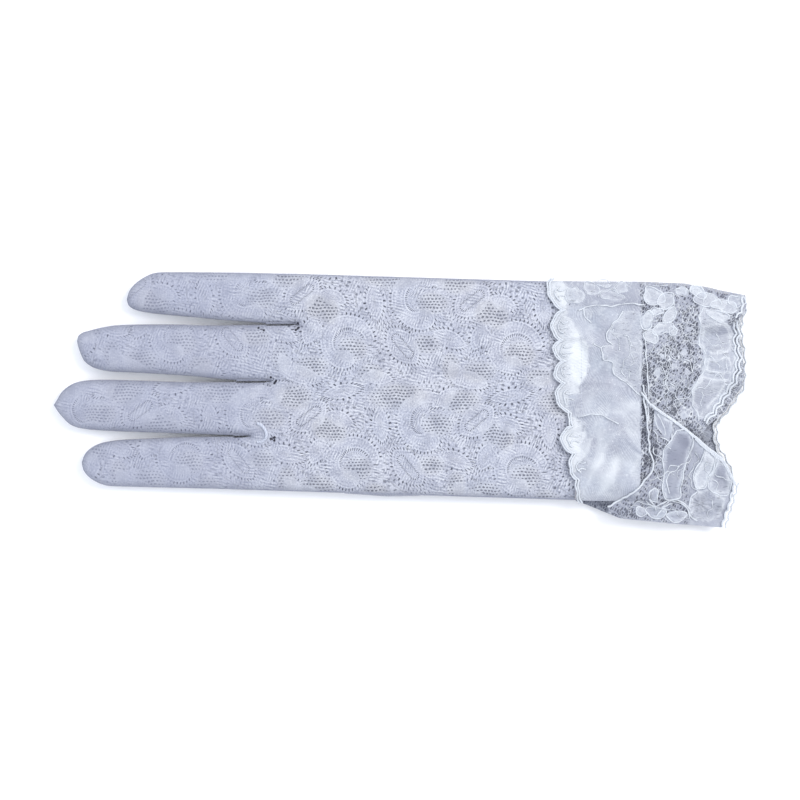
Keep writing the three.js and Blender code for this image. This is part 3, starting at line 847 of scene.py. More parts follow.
def net_material(name, thread, shade, blue, pale, through=0.0, dark=cloth(0.10, 0.11, 0.16)):
    """Ruffle lace: a fine net of uneven cells, crossed by brighter threads, with close woven petals."""
    n = Nodes(name)
    p = n.attribute("rest", True)
    fill, painted_light_and_tone = n.attribute("fill"), n.attribute("painted_light_and_tone")
    q = wobble(n, p, 0.22, 1.6)
    fine, who = weave(n, q, 1.02, 1.95, 56.0)
    wide = cells(n, wobble(n, p, 0.35, 1.6), 0.235, 17.0)
    open_net = n.band(fill, 0.62, 0.30)
    slack = n.band(fill, 0.12, -0.20)
    blotch = n.noise(p, 0.16, 2.0)
    grain = n.noise(p, 1.0, 3.0, 0.6)
    # a hole is the middle of a cell, larger where the net is slack, and some cells are closed
    limit = n.math("MULTIPLY_ADD", who, 0.30, n.band(blotch, 0.36, 0.60, 0.24, 0.04))
    limit = n.math("ADD", limit, n.math("MULTIPLY", n.math("SUBTRACT", 1.0, open_net), 0.64))
    limit = n.math("MULTIPLY_ADD", slack, -0.20, limit)
    hole = n.band(n.math("SUBTRACT", fine, limit), -0.05, 0.08)
    veins = n.math("MAXIMUM", vein(n, p, 0.20, 0.020, 11.0), vein(n, p, 0.33, 0.022, 47.0))
    veins = n.math("MULTIPLY", veins, n.band(n.noise(p, 0.4, 1.0), 0.35, 0.55, 0.25, 1.0))
    strand = n.math("MAXIMUM", n.band(wide, 0.060, 0.015), n.math("MULTIPLY", n.band(fine, 0.10, 0.02), n.band(blotch, 0.40, 0.55, 0.20, 0.62)))
    petal = n.band(fill, 0.62, 0.9)
    strand = n.math("MULTIPLY", strand, n.math("ADD", n.math("MULTIPLY_ADD", open_net, 0.66, 0.04), n.math("MULTIPLY", petal, 0.50)))
    strand = n.math("MULTIPLY", strand, n.band(n.noise(p, 0.13, 1.0), 0.38, 0.60, 0.15, 1.0))
    strand = n.math("MAXIMUM", strand, n.math("MULTIPLY", veins, n.math("MULTIPLY_ADD", open_net, 0.62, n.math("MULTIPLY_ADD", petal, 0.30, 0.08))))
    hole = n.math("MULTIPLY", hole, n.math("SUBTRACT", 1.0, strand))
    # close woven parts: threads that fan slightly, and a few tiny slots
    sep = n.t.nodes.new("ShaderNodeSeparateXYZ")
    n.put(sep, 0, wobble(n, p, 0.09, 7.0))
    ribs = n.math("SINE", n.math("MULTIPLY", n.math("MULTIPLY_ADD", sep.outputs[0], 0.35, sep.outputs[1]), 2 * math.pi / 1.0))
    slot = n.math("MULTIPLY", n.band(n.noise(n.vec("MULTIPLY", p, (0.55, 1.7, 1.0)), 0.62, 1.0), 0.64, 0.72), n.math("MULTIPLY", n.band(fill, 0.62, 0.75), n.band(fill, 0.98, 0.90)))
    hole = n.math("MAXIMUM", hole, n.math("MULTIPLY", slot, 0.38))
    height = n.math("MULTIPLY", ribs, n.math("MULTIPLY", petal, 0.05))
    height = n.math("ADD", height, n.math("MULTIPLY", hole, -0.22))
    height = n.math("ADD", height, n.math("MULTIPLY", strand, 0.25))
    height = n.math("ADD", height, n.math("MULTIPLY", grain, 0.22))
    height = n.math("ADD", height, n.math("MULTIPLY", blotch, 0.9))
    n.bump(height, 0.0010, 0.6)
    broad = n.noise(p, 0.05, 2.0)
    color = n.mix(n.math("MULTIPLY", n.band(broad, 0.35, 0.65), 0.5), thread, blue)
    cloud = n.noise(n.vec("ADD", p, (70.0, 12.0, 0.0)), 0.085, 2.0)
    color = n.mix(n.band(cloud, 0.46, 0.66, 0.0, 0.5), color, (thread[0] * 0.98, thread[1] * 0.95, thread[2] * 0.93, 1))
    color = n.mix(n.band(cloud, 0.48, 0.32, 0.0, 0.50), color, pale)
    color = n.mix(n.band(ribs, -0.2, -0.9, 0.0, 0.16), color, shade)
    # over the band the lace is close, with a fine slanting twill here and there
    twill = n.math("SINE", n.math("MULTIPLY", n.math("MULTIPLY_ADD", sep.outputs[1], 0.55, sep.outputs[0]), 2 * math.pi / 0.95))
    mid = n.math("MULTIPLY", n.band(fill, 0.36, 0.50), n.math("SUBTRACT", 1.0, petal))
    mid = n.math("MULTIPLY", mid, n.band(n.noise(n.vec("ADD", p, (9.0, 55.0, 0.0)), 0.11, 2.0), 0.42, 0.56, 0.12, 1.0))
    color = n.mix(n.math("MULTIPLY", n.band(twill, 0.2, -0.8), n.math("MULTIPLY", mid, 0.55)), color, shade)
    patch = n.t.nodes.new("ShaderNodeTexVoronoi")
    patch.voronoi_dimensions = "2D"
    n.put(patch, "Vector", n.vec("ADD", wobble(n, p, 0.35, 1.6), (17.0, 17.0 * 0.37, 0.0)))
    n.put(patch, "Scale", 0.235)
    each = n.t.nodes.new("ShaderNodeSeparateColor")
    n.put(each, 0, patch.outputs["Color"])
    color = n.mix(n.math("MULTIPLY", n.math("MULTIPLY", each.outputs[0], petal), 0.55), color, shade)
    color = n.mix(n.math("MULTIPLY", n.math("MULTIPLY", each.outputs[1], petal), 0.35), color, pale)
    color = n.mix(n.math("MULTIPLY", open_net, 0.68), color, shade)
    color = n.mix(n.band(fill, 0.93, 1.0, 0.0, 0.45), color, pale)
    color = n.mix(n.band(grain, 0.5, 0.3, 0.0, 0.35), color, shade)
    color = n.mix(n.band(grain, 0.56, 0.74, 0.0, 0.6), color, pale)
    color = n.mix(strand, color, pale)
    # painted light: below one this attribute paints the lace darker and above one paler; it carries painted shade and
    # painted highlights on the folds and puffs, the petals' paler rims and greyer middles, and uneven colour
    color = n.mix(n.math("MULTIPLY", n.math("SUBTRACT", 1.0, painted_light_and_tone), 0.9), color, shade)
    color = n.mix(n.math("MULTIPLY", n.band(painted_light_and_tone, 1.0, 1.45), 0.85), color, pale)
    # painted shade: the holes are painted dark, and see-through only by the share given as through
    color = n.mix(n.math("MULTIPLY", hole, n.math("MULTIPLY_ADD", slack, 0.20, 0.79)), color, dark)
    n.put(n.bsdf, "Base Color", color)
    n.put(n.bsdf, "Alpha", n.math("SUBTRACT", 1.0, n.math("MULTIPLY", hole, through)))
    n.bsdf.inputs["Roughness"].default_value = 0.7
    n.bsdf.inputs["Sheen Weight"].default_value = 0.2
    n.bsdf.inputs["Sheen Roughness"].default_value = 0.5
    n.bsdf.inputs["Specular IOR Level"].default_value = 0.3
    return n.m


def thread_material(name, bright, shade, turn=0.9, sheen=0.3, rough=0.5):
    """Twisted thread: slanting strands, with a soft gloss."""
    n = Nodes(name)
    p = n.attribute("rest", True)
    sep = n.t.nodes.new("ShaderNodeSeparateXYZ")
    n.put(sep, 0, p)
    strand = n.math("SINE", n.math("MULTIPLY", n.math("MULTIPLY_ADD", sep.outputs[1], 1.1, sep.outputs[0]), 2 * math.pi / turn))
    grain = n.noise(p, 1.7, 2.0)
    height = n.math("MULTIPLY_ADD", strand, 0.5, n.math("MULTIPLY", grain, 0.4))
    n.bump(height, 0.00009, 0.7)
    color = n.mix(n.band(strand, -1.0, 0.2), shade, bright)
    color = n.mix(n.math("MULTIPLY", n.band(grain, 0.4, 0.8), 0.35), color, shade)
    n.put(n.bsdf, "Base Color", color)
    n.bsdf.inputs["Roughness"].default_value = rough
    n.bsdf.inputs["Sheen Weight"].default_value = sheen
    n.bsdf.inputs["Specular IOR Level"].default_value = 0.4
    return n.m


def band_material(name, bright, shade):
    """Plain fine knit with upright wales."""
    n = Nodes(name)
    p = n.attribute("rest", True)
    sep = n.t.nodes.new("ShaderNodeSeparateXYZ")
    n.put(sep, 0, p)
    wale = n.math("SINE", n.math("MULTIPLY", sep.outputs[0], 2 * math.pi / 0.7))
    course = n.math("SINE", n.math("MULTIPLY_ADD", sep.outputs[1], 2 * math.pi / 0.55, n.math("MULTIPLY", wale, 0.8)))
    grain = n.noise(p, 1.1, 3.0)
    cloud = n.noise(p, 0.06, 2.0)
    height = n.math("ADD", n.math("MULTIPLY", wale, 0.35), n.math("MULTIPLY", course, 0.2))
    height = n.math("ADD", height, n.math("MULTIPLY", grain, 0.4))
    n.bump(height, 0.0003, 0.6)
    color = n.mix(n.math("MULTIPLY", n.band(cloud, 0.3, 0.7), 0.6), bright, shade)
    color = n.mix(n.math("MULTIPLY", n.band(course, 0.0, 1.0), 0.12), color, shade)
    n.put(n.bsdf, "Base Color", color)
    n.bsdf.inputs["Roughness"].default_value = 0.6
    n.bsdf.inputs["Sheen Weight"].default_value = 0.3
    n.bsdf.inputs["Specular IOR Level"].default_value = 0.35
    return n.m


WHITE = cloth(0.92, 0.96, 1.0)
LACE = lace_material("body_lace_back", cloth(0.67, 0.69, 0.79), cloth(0.27, 0.29, 0.38), cloth(0.62, 0.63, 0.68), cloth(0.58, 0.63, 0.77))
# painted shade: the palm and thumb layers are the same lace in darker colours, for lying in the shade under the back
PALM_LACE_PAINTED_SHADE = lace_material("body_lace_palm_painted_shade", cloth(0.58, 0.60, 0.70), cloth(0.28, 0.30, 0.39), cloth(0.48, 0.50, 0.55), cloth(0.50, 0.55, 0.68))
# painted shade: the strips that turn over the edges, the crotch gussets and the thumb's turn are the same lace in
# darker colours
STRIP_LACE_PAINTED_SHADE = lace_material("side_strip_lace_painted_shade", cloth(0.56, 0.58, 0.68), cloth(0.27, 0.29, 0.38), cloth(0.46, 0.49, 0.57), cloth(0.48, 0.52, 0.64))
SEAM = thread_material("seam_thread", cloth(0.80, 0.84, 0.95), cloth(0.62, 0.67, 0.82), 1.3, 0.2, 0.7)
CORD = thread_material("edge_cord", WHITE, cloth(0.74, 0.80, 0.92), 0.9)
SATIN = band_material("hem_band_knit", cloth(0.68, 0.67, 0.71), cloth(0.55, 0.55, 0.63))
NET = net_material("ruffle_lace_front", cloth(0.57, 0.60, 0.69), cloth(0.33, 0.35, 0.44), cloth(0.53, 0.60, 0.70), WHITE, through=0.40, dark=cloth(0.13, 0.14, 0.19))
# painted shade: the ruffle's under layer is the same lace in darker colours, with its holes painted dark and shut
NET_BELOW_PAINTED_SHADE = net_material("ruffle_lace_palm_painted_shade", cloth(0.46, 0.49, 0.58), cloth(0.28, 0.30, 0.38), cloth(0.42, 0.46, 0.56), cloth(0.72, 0.76, 0.85), through=0.0)


# ---------------------------------------------------------------- putting a piece in its place
def dress(o, material, node=None, rides=None, blends=None):
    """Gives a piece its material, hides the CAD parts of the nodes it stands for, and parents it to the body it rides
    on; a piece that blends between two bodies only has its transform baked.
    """
    o.data.materials.clear()
    o.data.materials.append(material)
    if node:
        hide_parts(*([node] if isinstance(node, str) else node))
    if blends:
        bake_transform(o)
    elif rides:
        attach(o, rides)
    return o


def mesh_area(o):
    a = np.zeros(len(o.data.polygons))
    o.data.polygons.foreach_get("area", a)
    return float(a.sum())


def flat_sheet(o, ease=1.0):
    """Works out a piece of cloth's own cut: the box it was cut from, and the cut's area. Nothing is done with them."""
    lo, hi = plan_box(o)
    w, l = float(hi[1] - lo[1]), float(hi[0] - lo[0])
    area = min(mesh_area(o) * ease, 1.0 * w * l)


def plan_box(o):
    co = np.zeros(len(o.data.vertices) * 3)
    o.data.vertices.foreach_get("co", co)
    co = co.reshape(-1, 3)
    return co.min(0), co.max(0)


JOINTS = {j["name"]: j for j in frame["joints"]}

# ---------------------------------------------------------------- the hand
back = dress(hand_sheet("back_of_hand", True), LACE, "back_of_hand_lace", rides="hand")
palm = dress(hand_sheet("palm", False), PALM_LACE_PAINTED_SHADE, "palm_lace", rides="hand")
flat_sheet(back)
flat_sheet(palm)


def band_sheet(name, upper):
    g = np.arange(BAND - 3.0, CUFF + 0.1, 1.2)
    g[-1] = CUFF
    xs = gx(g)
    hi, lo = hy(little_edge(g)) - INSET, hy(index_edge(g)) + INSET
    v = np.linspace(0, 1, 130)
    X = np.repeat(xs[:, None], len(v), 1)
    Y = lo[:, None] + (hi - lo)[:, None] * v[None, :]
    d = distance_to(OUTLINE, X, Y)
    drop = 0.12 * MM
    soft = 0.5 * MM * (noise(X * 0.5, Y, 13 * MM, 21) - 0.5)
    Z = (back_z(X, Y, d) + drop + soft) if upper else (palm_z(X, Y, d) - drop)
    b = Builder()
    b.grid(np.stack([X, Y, Z], -1), dict(rest=np.stack([X * 1000, Y * 1000, 0 * X], -1)), flip=not upper)
    return b.build(name)


band_back = dress(band_sheet("hem_band_back_knit", True), SATIN, "hem_band_back", rides="hand")
band_palm = dress(band_sheet("hem_band_palm_knit", False), SATIN, "hem_band_palm", rides="hand")
flat_sheet(band_back)
flat_sheet(band_palm)


def edge_points(edge, g0, g1, step=4.0):
    g = np.linspace(g0, g1, max(2, int(abs(g1 - g0) / step)))
    return [(a, float(edge(a))) for a in g]


seams = []
seams.append(dress(side_strip("little_side_seam_strip", edge_points(little_edge, FINGERS["little"]["start"], CUFF)), STRIP_LACE_PAINTED_SHADE, "little_side_seam", rides="hand"))
seams.append(dress(side_strip("index_side_strip_above_thumb", edge_points(index_edge, FINGERS["index"]["start"], 345)), STRIP_LACE_PAINTED_SHADE, "index_side_seam_above_thumb", rides="hand"))
seams.append(dress(side_strip("index_side_strip_below_thumb", edge_points(index_edge, 420, CUFF)), STRIP_LACE_PAINTED_SHADE, "index_side_seam_below_thumb", rides="hand"))

# the little gussets that close the hand where two fingers part
names = list(FINGERS)
for k, node in enumerate(("little_ring_crotch_gusset", "ring_middle_crotch_gusset", "middle_index_crotch_gusset")):
    a, b = FINGERS[names[k]], FINGERS[names[k + 1]]
    up = [(a["start"], a["inner"][-1][1]), (CROTCHES[k][0] - 0.3, CROTCHES[k][1] - 0.05)]
    down = [(b["start"], b["outer"][0][1]), (CROTCHES[k][0] - 0.3, CROTCHES[k][1] + 0.05)]
    one = side_strip(node + "_a", [tuple(lerp(np.array(up[0]), np.array(up[1]), t)) for t in np.linspace(0, 1, 6)], k)
    two = side_strip(node + "_b", [tuple(lerp(np.array(down[0]), np.array(down[1]), t)) for t in np.linspace(0, 1, 12)], k)
    bpy.ops.object.select_all(action="DESELECT")
    one.select_set(True); two.select_set(True)
    bpy.context.view_layer.objects.active = two
    bpy.ops.object.join()
    two.name = node + "_cloth"
    dress(two, STRIP_LACE_PAINTED_SHADE, node, rides="hand")

# ---------------------------------------------------------------- the fingers
REACH = 5.0 * MM
for n, f in FINGERS.items():
    base, tip = n + "_finger_base", n + "_finger_tip"
    split = f["middle"] + 12.0
    kx, mx = float(gx(f["knuckle"])), float(gx(f["middle"]))
    cy = float(hy(f["tip"][1]))
    first = ("hand", base, (kx + REACH, cy, 0.004), (kx - REACH, cy, 0.004))
    second = (base, tip, (mx + REACH, cy, 0.003), (mx - REACH, cy, 0.003))
    for upper, layer, mat in ((True, "back", LACE), (False, "palm", PALM_LACE_PAINTED_SHADE)):
        o = finger_sheet(f"{n}_base_{layer}", f, f["start"], split, False, upper)
        dress(o, mat, f"{n}_base_{layer}_lace", blends=first)
        flat_sheet(o)
        o = finger_sheet(f"{n}_tip_{layer}", f, split, None, True, upper)
        dress(o, mat, f"{n}_tip_{layer}_lace", blends=second)
        flat_sheet(o)
    for which, side in zip(("outer", "inner"), f["sides"]):
        pts = f[which] if which == "outer" else f[which][::-1]
        pts = np.array(pts)
        g = pts[:, 0]
        at = [float(np.interp(-split, -g, pts[:, 1]))]
        here = [tuple(p) for p in pts if p[0] > split + 0.5] + [(split, at[0])]
        there = [(split, at[0])] + [tuple(p) for p in pts if p[0] < split - 0.5]
        crotch = f[which + "_crotch"]
        o = side_strip(f"{n}_base_{side}_strip", here, crotch)
        dress(o, STRIP_LACE_PAINTED_SHADE, f"{n}_base_{side}", blends=first)
        o = side_strip(f"{n}_tip_{side}_strip", there, crotch)
        dress(o, STRIP_LACE_PAINTED_SHADE, f"{n}_tip_{side}", blends=second)

# ---------------------------------------------------------------- the thumb, pressed flat under the palm
fold = np.array([float(gx(382)), float(hy(489 + 0.0311 * 160))])
l = math.hypot(1, 0.0311)
ALONG, INWARD = np.array([1 / l, -0.0311 / l]), np.array([0.0311 / l, 1 / l])
T_DIR, T_SIDE = np.array([-0.64, 0.7684]), np.array([0.7684, 0.64])
T_HALF, T_LONG = 12 * MM, 57 * MM


def thumb_sheet(name, upper):
    n, m = 80, 34
    t = np.linspace(0, 1, n + 1)
    t = t * 0.6 + np.sin(t * math.pi / 2) * 0.4
    v = np.linspace(-1, 1, m + 1)
    centre = T_LONG - T_HALF
    X, Y, D = [], [], []
    for a in t:
        row = []
        for b in v:
            # the two sides start on the fold line
            w = T_HALF * 0.985 * b
            start = (0.35 * MM - w * float(T_SIDE @ INWARD)) / float(T_DIR @ INWARD)
            s = lerp(start, T_LONG - 0.01 * MM, a)
            half = T_HALF * 0.985 if s < centre else T_HALF * 0.985 * math.sqrt(max(0.0, 1 - ((s - centre) / T_HALF) ** 2))
            d = half - abs(w)
            if s > centre:
                w = b * half
                d = T_HALF * 0.985 * (1 - math.hypot(w / (T_HALF * 0.985), (s - centre) / T_HALF))
            q = fold + s * T_DIR + w * T_SIDE
            row.append((q[0], q[1], d))
        row = np.array(row)
        X.append(row[:, 0]); Y.append(row[:, 1]); D.append(row[:, 2])
    X, Y, D = np.array(X), np.array(Y), np.array(D)
    A = lace_attributes(X, Y, np.maximum(D, 0), mirror=True)
    puff = swell(np.maximum(D, 0) * 1.6)
    Z = 1.45 * MM + (1 if upper else -1) * (0.15 * MM + 1.0 * MM * puff) + 0.25 * MM * (noise(X, Y, 12 * MM, 8) - 0.5) * puff
    b = Builder()
    b.grid(np.stack([X, Y, Z], -1), A, flip=upper)
    return b.build(name)


thumb_top = dress(thumb_sheet("thumb_palm_side", True), PALM_LACE_PAINTED_SHADE, "thumb_palm_lace", rides="thumb")
thumb_low = dress(thumb_sheet("thumb_back_side", False), PALM_LACE_PAINTED_SHADE, "thumb_back_lace", rides="thumb")
flat_sheet(thumb_top)
flat_sheet(thumb_low)


def thumb_seam(name, sign):
    pts = []
    centre = T_LONG - T_HALF
    start = (0.5 * MM - sign * T_HALF * float(T_SIDE @ INWARD)) / float(T_DIR @ INWARD)
    for s in np.linspace(start, centre, 60):
        pts.append(fold + s * T_DIR + sign * (T_HALF - 0.25 * MM) * T_SIDE)
    for a in np.linspace(0, math.pi / 2, 24)[1:]:
        pts.append(fold + (centre + (T_HALF - 0.25 * MM) * math.sin(a)) * T_DIR + sign * (T_HALF - 0.25 * MM) * math.cos(a) * T_SIDE)
    p = np.array(pts)
    s = np.concatenate([[0], np.cumsum(np.hypot(*np.diff(p, axis=0).T))])
    t = np.arange(0, s[-1], 0.22 * MM)
    x, y = np.interp(t, s, p[:, 0]), np.interp(t, s, p[:, 1])
    tx, ty = np.gradient(x, t), np.gradient(y, t)
    a = t / (1.3 * MM) * 2 * math.pi
    r = 0.45 * MM
    path = np.stack([x - ty * r * np.cos(a), y + tx * r * np.cos(a), 1.45 * MM + 0.75 * r * np.sin(a)], 1)
    return tube(name, [path], 0.14 * MM, 5)


dress(thumb_seam("thumb_cuff_side_overlock", 1), SEAM, "thumb_cuff_side_seam", rides="thumb")
dress(thumb_seam("thumb_finger_side_overlock", -1), SEAM, "thumb_finger_side_seam", rides="thumb")


def thumb_turn():
    """The cloth that turns from the hand's side opening under to the folded thumb."""
    n, rows = 84, 13
    g = np.linspace(344.0, 421.0, n + 1)
    x, y = gx(g), hy(index_edge(g))
    e = np.abs(np.sin(np.linspace(0, 1, n + 1) * math.pi)) ** 0.48
    ins = np.maximum(inset_at(g, None), 0.06 * MM)
    top, low = back_z(x, y + ins, ins), palm_z(x, y + ins, ins)
    foot = lerp(low, 1.75 * MM, e)
    X, Y, Z = [], [], []

    def row(off, z):
        X.append(x + off * INWARD[0])
        Y.append(y + off * INWARD[1])
        Z.append(z)

    row(ins + 0.5 * MM, back_z(x, y + ins + 0.5 * MM, ins + 0.5 * MM) - 0.12 * MM)
    for k in range(rows):
        a = k / (rows - 1) * math.pi
        soft = 0.14 * MM * np.sin((g - 344) / 9.0 + 1.2 * math.cos(a)) * e * math.sin(a)
        row(ins * (1 - math.sin(a)) + 0.02 * MM - (0.75 * MM * math.sin(a) + 0.35 * MM * math.sin(a / 2) ** 4 * math.sin(a)) * e + soft, (top + foot) / 2 + (top - foot) / 2 * math.cos(a))
    row(ins + 1.2 * MM, foot)
    X, Y, Z = np.array(X).T, np.array(Y).T, np.array(Z).T
    k = X.shape[1]
    along = np.repeat(((g - 344) * 0.42)[:, None], k, 1)
    across = np.repeat(np.linspace(0, 8.0, k)[None, :], n + 1, 0)
    # painted shade: the turn is painted almost as dark as an edge
    A = dict(rest=np.stack([along, across, np.zeros_like(along)], -1), sd=np.full(X.shape, 1.6), opened=np.full(X.shape, 0.12), slit=np.full(X.shape, 9.0), painted_light_and_tone=np.full(X.shape, 0.1), finger_shade=np.full(X.shape, 0.5), around=np.zeros(X.shape + (3,)), hole_shade=np.full(X.shape + (3,), 9.0))
    b = Builder()
    b.grid(np.stack([X, Y, Z], -1), A, flip=True)
    return b.build("thumb_opening_turn")


mid_fold = (float(fold[0]), float(fold[1]), 0.0)
dress(thumb_turn(), STRIP_LACE_PAINTED_SHADE, None, blends=("hand", "thumb", (mid_fold[0], mid_fold[1], 0.0066), (mid_fold[0], mid_fold[1], 0.0022)))


# a puffed loop of cloth where the middle and index fingers part
def puff_rim():
    pts = [(258.5, 423.0), (262.5, 424.8), (266.0, 429.0), (267.6, 433.5), (266.8, 438.0), (263.0, 441.2), (258.0, 441.6)]
    p = resample(plan(pts), 0.3 * MM)
    z = back_z(p[:, 0], p[:, 1])
    t = np.linspace(0, 1, len(p))
    path = np.stack([p[:, 0], p[:, 1], z - 0.15 * MM + 0.45 * MM * np.sin(math.pi * t)], 1)
    return tube("crotch_loop", [path], 0.62 * MM, 8, uneven=0.12)


dress(puff_rim(), SEAM, None, rides="hand")


# ---------------------------------------------------------------- the ruffle
HINGE_G = 641.0


def inside_polygon(poly, x, y):
    p = plan(poly)
    c = np.zeros(np.shape(x), bool)
    j = len(p) - 1
    for i in range(len(p)):
        (x0, y0), (x1, y1) = p[i], p[j]
        if y0 != y1:
            c ^= ((y0 > y) != (y1 > y)) & (x < (x1 - x0) * (y - y0) / (y1 - y0) + x0)
        j = i
    return c


def signed(poly, x, y):
    """Distance to a closed outline in mm, negative inside."""
    d = distance_to(plan(poly), x, y, closed=True) * 1000
    return np.where(inside_polygon(poly, x, y), -d, d)


def blob(cx, cy, a, b, angle, n=18):
    t = np.linspace(0, 2 * math.pi, n + 1)[:-1]
    c, s = math.cos(math.radians(angle)), math.sin(math.radians(angle))
    # never a clean oval: each has its own uneven outline
    k = 1 + 0.13 * np.sin(2 * t + cx) + 0.10 * np.sin(3 * t + cy * 1.7) + 0.05 * np.sin(5 * t + cx + cy)
    u, v = a * k * np.cos(t), b * k * np.sin(t)
    return [(cx + c * p - s * q, cy + s * p + c * q) for p, q in zip(u, v)]


def hand_level(x, y):
    """The top of the glove under the ruffle, carried on past its edges as a gentle fall."""
    xs = np.minimum(x, gx(CUFF - 2))
    g = xs / S + GX
    hi, lo = hy(little_edge(g)), hy(index_edge(g))
    over = np.maximum(np.maximum(y - hi, lo - y), 0)
    yc = np.clip(y, lo + 0.4 * MM, hi - 0.4 * MM)
    return back_z(xs, yc) - 0.55 * over


def fray(x, y, seed):
    """Soft crumples of the gathered lace."""
    return (noise(x, y * 0.8, 7 * MM, seed) - 0.5) * 1.3 * MM + (noise(x, y, 3.1 * MM, seed + 1) - 0.5) * 0.45 * MM


HEAD_TOPS = [(547, 294, 13), (549.5, 326, 13), (551.6, 350.5, 10), (552.4, 371.5, 10), (554.4, 397, 13), (559, 439, 12), (567.5, 466, 9)]
HEAD_NOTCHES = [(550, 279), (560.5, 311), (558.5, 340.5), (561.5, 361.5), (560.5, 383.5), (567, 413), (568.5, 426), (571, 453), (573.5, 479), (578, 503)]


def heading_line(step=0.6, inner=0.0):
    """The scalloped free edge of the heading, from the little-finger side to the index side."""
    pts = []
    for a, b in zip(HEAD_NOTCHES[:-1], HEAD_NOTCHES[1:]):
        mid = [t for t in HEAD_TOPS if a[1] < t[1] < b[1]]
        depth = 0.8 if not mid else lerp(a[0], b[0], 0.5) - mid[0][0]
        n = max(4, int((b[1] - a[1]) / step))
        for k in range(n):
            t = k / n
            g = lerp(a[0], b[0], t) - depth * math.sin(math.pi * t) ** 0.62
            g += 0.5 * math.sin(k * 0.31 + a[1])
            # the inner cords run shallower than the edge
            pts.append((g + inner * (1 - 0.35 * math.sin(math.pi * t)), lerp(a[1], b[1], t)))
    pts.append((HEAD_NOTCHES[-1][0] + inner, HEAD_NOTCHES[-1][1]))
    return pts


def at_height(line, h):
    p = np.array(line)
    o = np.argsort(p[:, 1])
    return np.interp(h, p[o, 1], p[o, 0])


HEM = [(745, 294), (746.5, 304), (744, 314), (738, 319), (733, 323), (736, 330), (739.5, 338), (741, 346), (743, 357), (743.5, 372), (742.5, 386), (738, 393), (732, 401), (726, 410), (718, 417), (708, 424), (700, 436), (696, 452), (690, 470), (680, 486), (668, 500)]
TOP_G = [540, 590, 640, 684, 696, 708, 720, 732, 744, 760]
TOP_H = [281.2, 282, 282, 283.6, 285.6, 287.4, 290.4, 292.6, 295, 298]


def petal(poly, amount, centre, X, Y, fill, tn, Z, rim=0.14):
    """A close woven petal: a thick rim, and a quieter middle."""
    X2, Y2 = X + (noise(X, Y, 2.6 * MM, 91) - 0.5) * 1.1 * MM, Y + (noise(X, Y, 2.6 * MM, 92) - 0.5) * 1.1 * MM
    d = signed(poly, X2, Y2)
    k = smooth((0.45 - d) / 0.9)
    fill = fill * (1 - k) + amount * k
    Z = Z + 0.10 * MM * k * (amount > 0.6) + 0.13 * MM * np.exp(-((d + 0.7) / 0.7) ** 2) * (amount > 0.6)
    # the rim comes and goes, and the middle is never one even grey
    part = noise(X, Y, 4.0 * MM, 93)
    own = 1.0 + rim * (0.3 + 1.4 * part) * np.exp(-((d + 0.6) / 0.6) ** 2) - centre * (0.70 + 0.6 * noise(X, Y, 5.5 * MM, 94)) * smooth((-d - 0.2) / 2.0)
    return fill, tn * (1 - k) + own * k, Z


def ruffle_layer(name, left, right, top, bottom, height, fills, base_fill, step=0.46, seed=3, blendpair=None, material=None, painted_light_and_tone=None, flip=False):
    """A layer of ruffle lace between a left and a right outline (functions of h) and a top and a bottom one (functions of g)."""
    n = int(max(right(h) - left(h) for h in np.linspace(top(650), bottom(650), 30)) * 0.42 / (step * 1000) * 1000 / 1.0)
    m = int((bottom(650) - top(650)) * 0.42 / step)
    s, t = np.meshgrid(np.linspace(0, 1, n + 1), np.linspace(0, 1, m + 1), indexing="ij")
    h = lerp(top(650.0), bottom(650.0), t)
    g = lerp(left(h), right(h), s)
    for _ in range(4):
        h = lerp(top(g), bottom(g), t)
        g = lerp(left(h), right(h), s)
    X, Y = gx(g), hy(h)
    Z = height(X, Y, g, h)
    fill = np.full(X.shape, float(base_fill)) if np.isscalar(base_fill) else base_fill(g, h)
    tn = np.ones(X.shape) if painted_light_and_tone is None else painted_light_and_tone(g, h)
    for entry in fills:
        fill, tn, Z = petal(entry[0], entry[1], entry[2], X, Y, fill, tn, Z, *entry[3:])
    b = Builder()
    b.grid(np.stack([X, Y, Z], -1), dict(rest=np.stack([X * 1000, Y * 1000, 0 * X], -1), fill=fill, painted_light_and_tone=tn), flip=flip)
    return b.build(name)


def on(height, points, rise=0.25 * MM, step=0.5 * MM, closed=False, loose=0.6):
    """A path on a layer through points of the cutting grid."""
    p = list(points)
    if closed:
        p = p + [p[0]]
    q = resample(plan(p), step)
    q = q + np.stack([noise(q[:, 0], q[:, 1], 2.2 * MM, 95) - 0.5, noise(q[:, 0], q[:, 1], 2.2 * MM, 96) - 0.5], 1) * loose * MM
    g, h = q[:, 0] / S + GX, GY - q[:, 1] / S
    z = height(q[:, 0], q[:, 1], g, h) + rise
    return np.stack([q[:, 0], q[:, 1], z], 1)


CREASES = [([(577, 416), (588, 414), (600, 414.5), (609, 419), (617, 424), (622, 434), (629, 444), (638, 451)], 2.0, 0.62),
           ([(578, 384), (597, 379), (612, 384), (628, 391), (640, 398)], 3.4, 0.42),
           ([(586, 312), (594, 322), (603, 328), (612, 326), (622, 316)], 3.2, 0.34),
           ([(584, 344), (596, 348), (601, 360), (596, 370), (585, 378)], 3.6, 0.46),
           ([(587, 482), (591, 469), (600, 459), (604, 446), (612, 436)], 5.6, 0.34),
           ([(598, 494), (606, 484), (613, 470), (615, 458)], 6.4, 0.28),
           ([(622, 488), (626, 474), (634, 466), (637, 455)], 5.0, 0.30),
           ([(569, 338), (580, 336), (586, 350), (584, 372), (577, 384)], 3.4, 0.50),
           ([(572, 428), (583, 424), (590, 436), (586, 452)], 3.4, 0.44),
           ([(622, 340), (627, 356), (626, 372), (632, 386)], 3.0, 0.34)]


